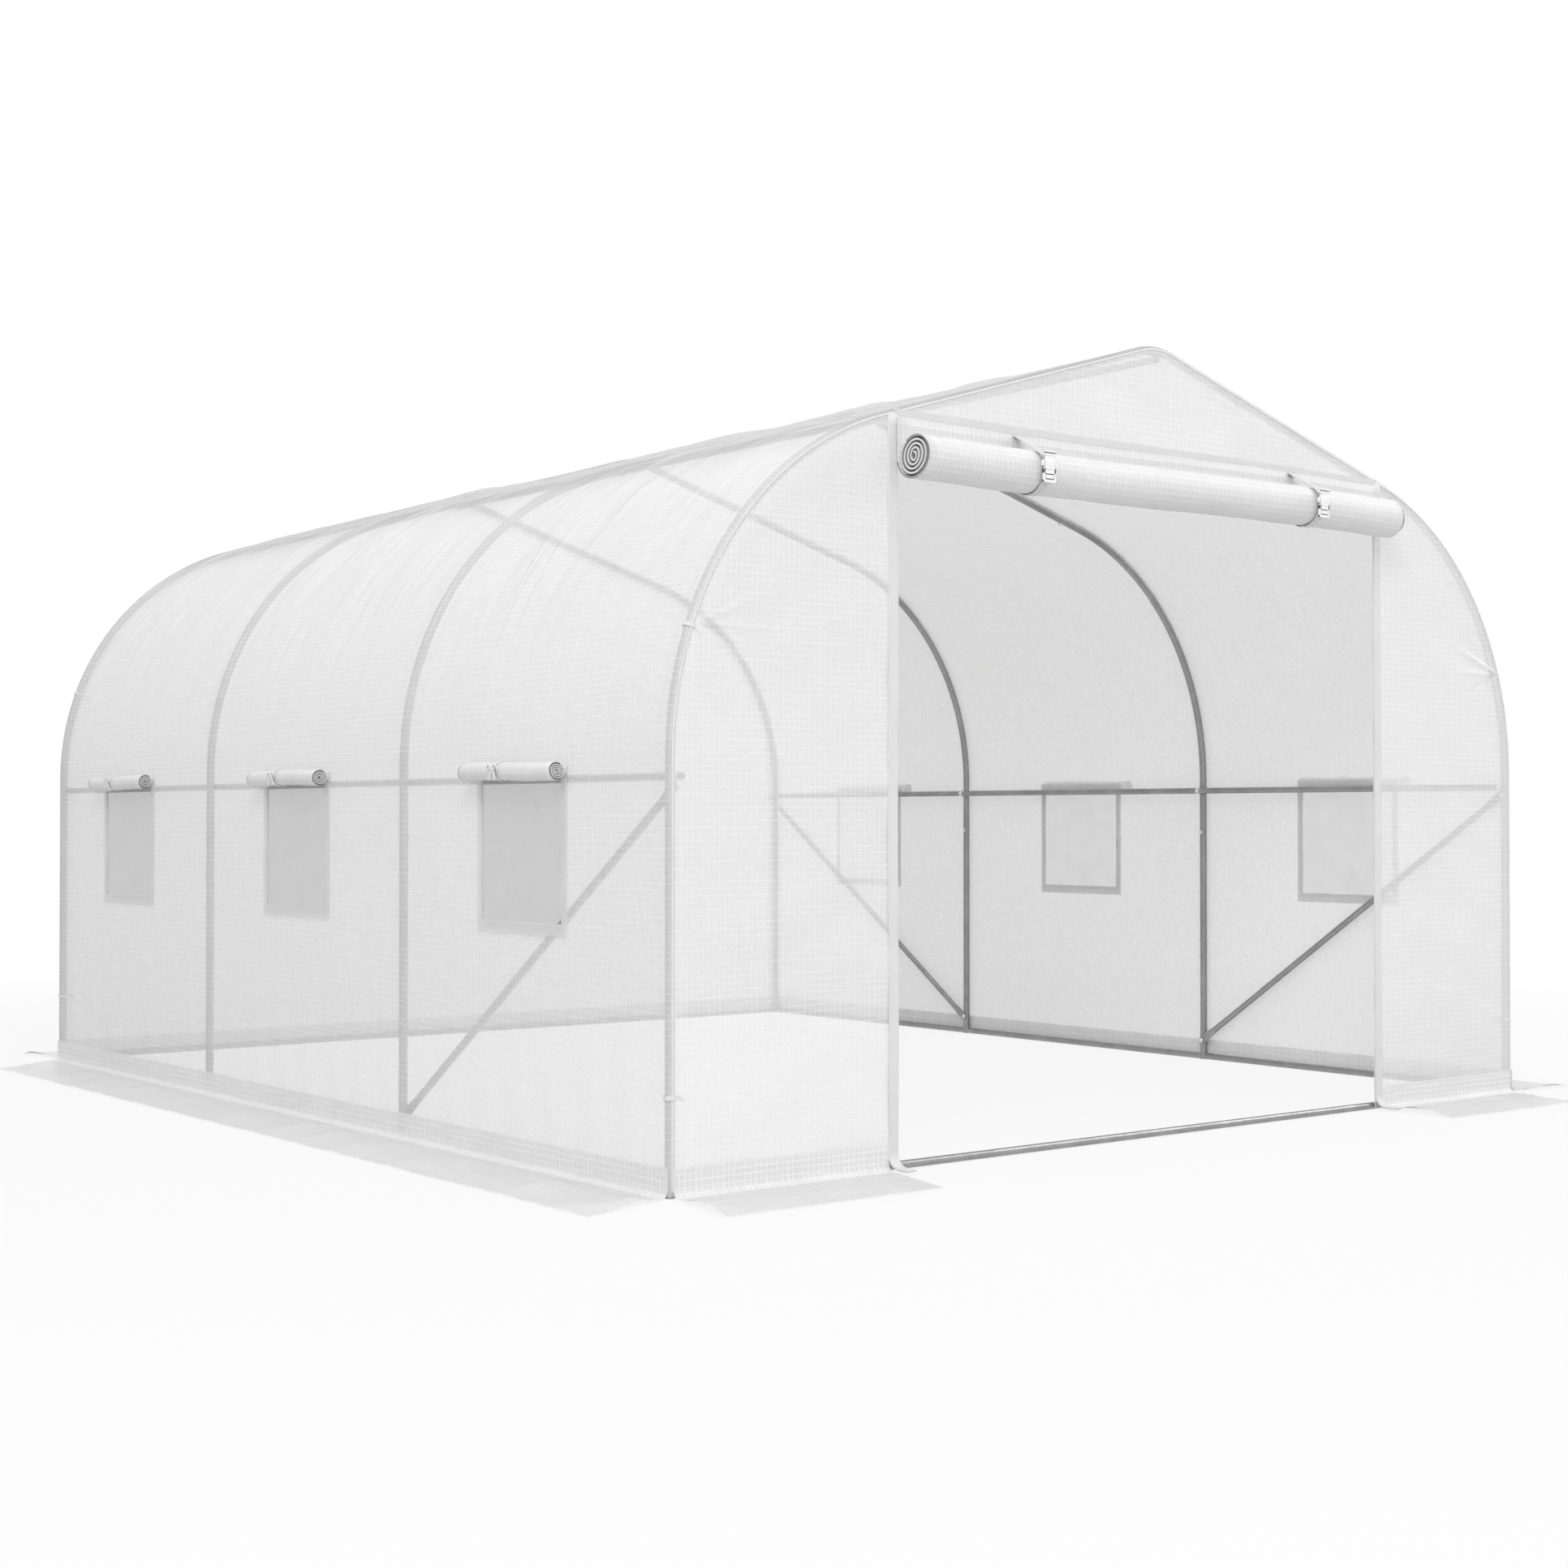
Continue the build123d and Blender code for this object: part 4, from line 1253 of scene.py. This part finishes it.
def add_window_roll(shape, side, y, seed):
    """Rolled flap over a window, pinched by its tie; gives the length of its section."""
    section, angles = roll_section(window_roll_radius, window_roll_pitch, window_roll_turns, window_tail, 26)
    by_tie_band = tie_place + np.linspace(-0.03, 0.03, 9)
    stations = np.unique(np.concatenate([np.linspace(-window_roll_half, window_roll_half, 24), by_tie_band]))

    def dents(station, turn):
        pinch = 0.07 * bump(station - tie_place, 0.012)
        folds = 0.022 * np.sin(station * 60 + 3 * turn + seed) * bump(station - tie_place, 0.08)
        wide = 0.02 * np.sin(station * 23 + 2 * turn + seed)
        ripple = wide + 0.014 * np.sin(station * 47 - turn + 2 * seed)
        return 1 - np.exp(-turn / 8) * (pinch - (folds + ripple) * (turn > 0.3))

    def place(station, flat, turn):
        sag = 0.0022 * math.sin(station * 11 + seed)
        slip = by_end(station, window_roll_half, 0.03) * 0.003 * np.sin(turn + seed)
        x = side * (window_roll_x - flat[:, 0])
        return columns(x, y + station + slip, window_roll_z + sag + flat[:, 1])

    return add_rolled(shape, section, angles, stations, window_roll_thickness, place, dents, turned=side > 0)


def add_window_tie(shape, side, y, seed):
    """Flat tie round a rolled flap, with a knot and two short ends at its front."""
    tie_y = y + tie_place
    turn = np.linspace(0, 2 * math.pi, 30)
    ring_x = side * (window_roll_x + tie_reach * np.cos(turn))
    ring = columns(ring_x, tie_y + 0.001 * np.sin(turn * 2), window_roll_z + tie_reach * np.sin(turn))
    add_band(shape, ring, (0, 1, 0), tie_width, tie_thickness)
    knot = np.array((side * (window_roll_x + tie_reach + knot_proud), tie_y, window_roll_z + knot_rise))
    turn = np.linspace(0, 2 * math.pi, 24)
    coil_y, coil_z = np.sin(turn) + 0.8 * np.sin(2 * turn), np.cos(turn) - 0.8 * np.cos(2 * turn)
    coil = knot + knot_size * columns(0.6 * np.cos(3 * turn) * side, coil_y, coil_z)
    add_tube(shape, coil, knot_cord_radius, 6)
    turn = np.linspace(-0.35, math.pi + 0.5, 16)
    fall = np.linspace(0, 1, 8)
    for hand in (-1, 1):
        loop_y = hand * (0.011 - 0.010 * np.cos(turn * 1.1))
        loop = knot + columns(side * 0.002 * np.sin(turn), loop_y, 0.009 * np.sin(turn) + 0.001)
        add_band(shape, loop, (side, 0, 0.2), tie_end_width, tie_end_thickness)
        end_x, end_y = side * (0.001 + 0.002 * fall), hand * (0.003 + 0.012 * fall)
        end = knot + columns(end_x, end_y, -0.026 * fall**1.2 + 0.002 * math.sin(seed))
        add_band(shape, end, (0.2 * side, 1, 0.4 * hand), tie_end_width, tie_end_thickness)


def make_windows(stitches):
    bindings, screens, rolls, ties = Shape(), Shape(), Shape(), Shape()
    slots = [(side, y) for side in (-1, 1) for y in bay_places]
    for number, (side, y) in enumerate(slots):
        add_window_frame(bindings, stitches, side, y)
        add_screen(screens, side, y)
        length = add_window_roll(rolls, side, y, 1.7 * number)
        add_window_tie(ties, side, y, number)
    bindings.finish("window_tapes", window_tape, "woven_film", "window_bindings", smooth=False)
    screen = screens.finish("window_mesh", screen_mesh, "insect_mesh", "window_screens")
    roll = rolls.finish("rolled_windows", rolled_film, "woven_film", "window_rolls")
    # Painted shade in the gaps of the rolls and on the outer ring of their ends
    roll.data.materials.append(painted_shade_film)
    ties.finish("window_tie_bands", sewing_thread, "webbing", "window_ties")


# Ties round the end hoops, bolts and screws

tie_angle = math.radians(20)
high_tie_x = shoulder_x + shoulder_radius * math.cos(tie_angle)
high_tie_z = leg_height + shoulder_radius * math.sin(tie_angle)
hoop_ties = ((half_width, tie_low_z, 0.0), (high_tie_x, high_tie_z, tie_angle))
hoop_tie_gap = 0.002
hoop_tie_width = 0.01
hoop_tie_end_gap = 0.001
hoop_tie_end_width = 0.009
purlin_low, purlin_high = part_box("right_purlin")
purlin_height = (purlin_low.z + purlin_high.z) / 2
ridge_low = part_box("ridge_purlin")[0]
brace_low, brace_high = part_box("braces")
brace_end = 0.013
brace_thickness = 0.0035
brace_hoops = ((-1, 0, 1), (1, 0, 1), (1, 3, 2))  # side, hoop at the top and hoop at the foot
joint_reach = 0.084
joint_x = shoulder_x + shoulder_radius * pitch_sin - joint_reach * pitch_cos
joint_z = virtual_peak - joint_x * pitch_tan
leg_screw_drop = 0.06
bolt_sides = 16
screw_sides = 12
washer = [(0.0088, 0), (0.0088, 0.0013)]
washer_head = [*washer, (0.0064, 0.0015), (0.0062, 0.004), (0.0048, 0.0054), (0.002, 0.006)]
screw_head = [(0.006, 0), (0.006, 0.0014), (0.0048, 0.0034), (0.0018, 0.0042)]
joint_bolt = [(0.0062, 0), (0.0062, 0.0052), (0.005, 0.007), (0.002, 0.0078)]


def add_hoop_tie(shape, side, y, x, z, tilt):
    """Band round a hoop and the film on it, with a short end."""
    reach = film_offset + hoop_tie_gap
    middle = np.array((side * x, y, z))
    out = np.array((side * math.cos(tilt), 0, math.sin(tilt)))
    along = np.array((-side * math.sin(tilt), 0, math.cos(tilt)))
    ahead = np.array((0, 1.0, 0))
    turn = np.linspace(0, 2 * math.pi, 28)[:, None]
    ring = middle + reach * (np.cos(turn) * out + np.sin(turn) * ahead)
    add_band(shape, ring, along, hoop_tie_width, tie_thickness)
    fall = np.linspace(0, 1, 7)[:, None]
    inward = -1 if y > 0 else 1
    hang = fall * (-0.024 * out + inward * 0.006 * ahead - 0.008 * along * fall)
    end = middle - out * (reach + hoop_tie_end_gap) + hang
    add_band(shape, end, along, hoop_tie_end_width, tie_thickness)


def make_tie_bands():
    """Ties of both end hoops, low on the leg and high on the bend."""
    shape = Shape()
    for y in (hoop_places[0], hoop_places[-1]):
        for side in (-1, 1):
            for x, z, tilt in hoop_ties:
                add_hoop_tie(shape, side, y, x, z, tilt)
    shape.finish("hoop_tie_bands", sewing_thread, "webbing", "cover_ties")


def make_bolts():
    shape = Shape()
    for side in (-1, 1):
        inward = (-side, 0, 0)
        down = np.array((-side * pitch_sin, 0, -pitch_cos))
        for y in hoop_places:
            add_turned(shape, washer_head, (side * purlin_low.x, y, purlin_height), inward, bolt_sides)
            joint = (side * joint_x, y, joint_z) + down * hoop_radius
            add_turned(shape, joint_bolt, joint, down, screw_sides)
            leg_screw = (side * (half_width - hoop_radius), y, legs_high.z - leg_screw_drop)
            add_turned(shape, screw_head, leg_screw, inward, screw_sides)
    for y in hoop_places:
        add_turned(shape, washer_head, (0, y, ridge_low.z), (0, 0, -1), bolt_sides)
    for side, top, foot in brace_hoops:
        x = side * (half_width - hoop_radius - brace_thickness)
        for hoop, z in ((top, brace_high.z - brace_end), (foot, brace_low.z + brace_end)):
            add_turned(shape, washer_head, (x, hoop_places[hoop], z), (-side, 0, 0), bolt_sides)
    shape.finish("bolts_and_screws", zinc, "galvanised_steel")


# Stage: camera fitted to the photograph, light and a pale floor

camera_place = (-4.2909, -5.6777, 0.8075)
camera_yaw = math.radians(38.195)
camera_pitch = math.radians(0.8175)
camera_lens = 52.19
sensor_width = 36.0
camera_range = 200
white = (1, 1, 1, 1)
floor_half = 60.0
floor_drop = 0.001
floor_grey = 0.7
floor_white_share = 0.84
floor_shade_reach = 3.2
world_strength = 0.67
lamp_aim = Vector((0, 0, 0.9))
lamps = (  # name, place, size and power
    ("left", (-6.0, -7.0, 7.0), 4.0, 306.0),
    ("front", (1.5, -10.0, 5.0), 5.0, 53.0),
    ("top", (-2.0, 0.0, 9.0), 5.0, 155.0),
    ("back", (4.0, 10.0, 3.5), 5.0, 125.0),
    ("right", (8.0, -4.0, 6.0), 5.0, 262.0),
)


def make_camera():
    lens = bpy.data.cameras.new("camera")
    lens.lens = camera_lens
    lens.sensor_width = sensor_width
    lens.clip_end = camera_range
    camera = placed("camera", lens)
    camera.location = camera_place
    camera.rotation_euler = (math.pi / 2 + camera_pitch, 0, -camera_yaw)
    bpy.context.scene.camera = camera


def background_ray(tree):
    """1 for rays that show the background: from the camera, or by way of gloss or glass."""
    kinds = ("Camera", "Glossy", "Transmission")
    rays = [node(tree, "ShaderNodeLightPath", output=f"Is {kind} Ray") for kind in kinds]
    return rays[0].most(rays[1]).most(rays[2])


def make_floor():
    """Pale floor: mostly white to the camera, and still shaded under the tunnel."""
    corners = [(x * floor_half, y * floor_half, -floor_drop) for x, y in ((-1, -1), (1, -1), (1, 1), (-1, 1))]
    shape = Shape()
    shape.add(corners, [(0, 1, 2, 3)])
    floor = shape.piece("floor", smooth=False)
    material, tree = new_material("pale_floor")
    away = node(tree, "ShaderNodeVectorMath", {0: solid_place(tree)}, "Value", operation="LENGTH")
    white_share = away.eased(floor_shade_reach, 2 * floor_shade_reach, floor_white_share, 1)
    matt = node(tree, "ShaderNodeBsdfDiffuse", {"Color": (floor_grey, floor_grey, floor_grey, 1)})
    bright = node(tree, "ShaderNodeEmission", {"Color": white, "Strength": 1.0})
    shown(mixed(background_ray(tree) * white_share, matt, bright))
    floor.data.materials.append(material)


def make_light():
    world = bpy.data.worlds.new("studio")
    bpy.context.scene.world = world
    world.use_nodes = True
    tree = world.node_tree
    tree.nodes.clear()
    soft = node(tree, "ShaderNodeBackground", {"Color": white, "Strength": world_strength})
    bright = node(tree, "ShaderNodeBackground", {"Color": white, "Strength": 1.0})
    shown(mixed(background_ray(tree), soft, bright), "ShaderNodeOutputWorld")
    for name, place, size, power in lamps:
        lamp = bpy.data.lights.new(name, "AREA")
        lamp.shape = "SQUARE"
        lamp.size = size
        lamp.energy = power
        light = placed(name, lamp)
        light.location = place
        light.rotation_euler = (lamp_aim - Vector(place)).to_track_quat("-Z", "Y").to_euler()


bpy.context.scene.view_settings.view_transform = "Standard"
make_camera()
make_floor()
make_light()
make_cover()
front, front_flat, front_area = make_end(
    "front_sheet", True, "front_left_panel", "front_right_panel", "front_gable_panel"
)
back, back_flat, back_area = make_end("back_sheet", False, "back_panel")
for name, *layout in skirts:
    make_skirt(f"{name}_skirt_sheet", *layout)
stitches = Shape()
front_edges = [make_jambs(stitches), make_header(stitches), make_seam("front_arch_seam", -1)]
back_edges = [make_seam("back_arch_seam", 1)]
make_door_roll()
make_straps()
make_windows(stitches)
make_tie_bands()
make_bolts()
stitches.finish("stitching", sewing_thread, "webbing")
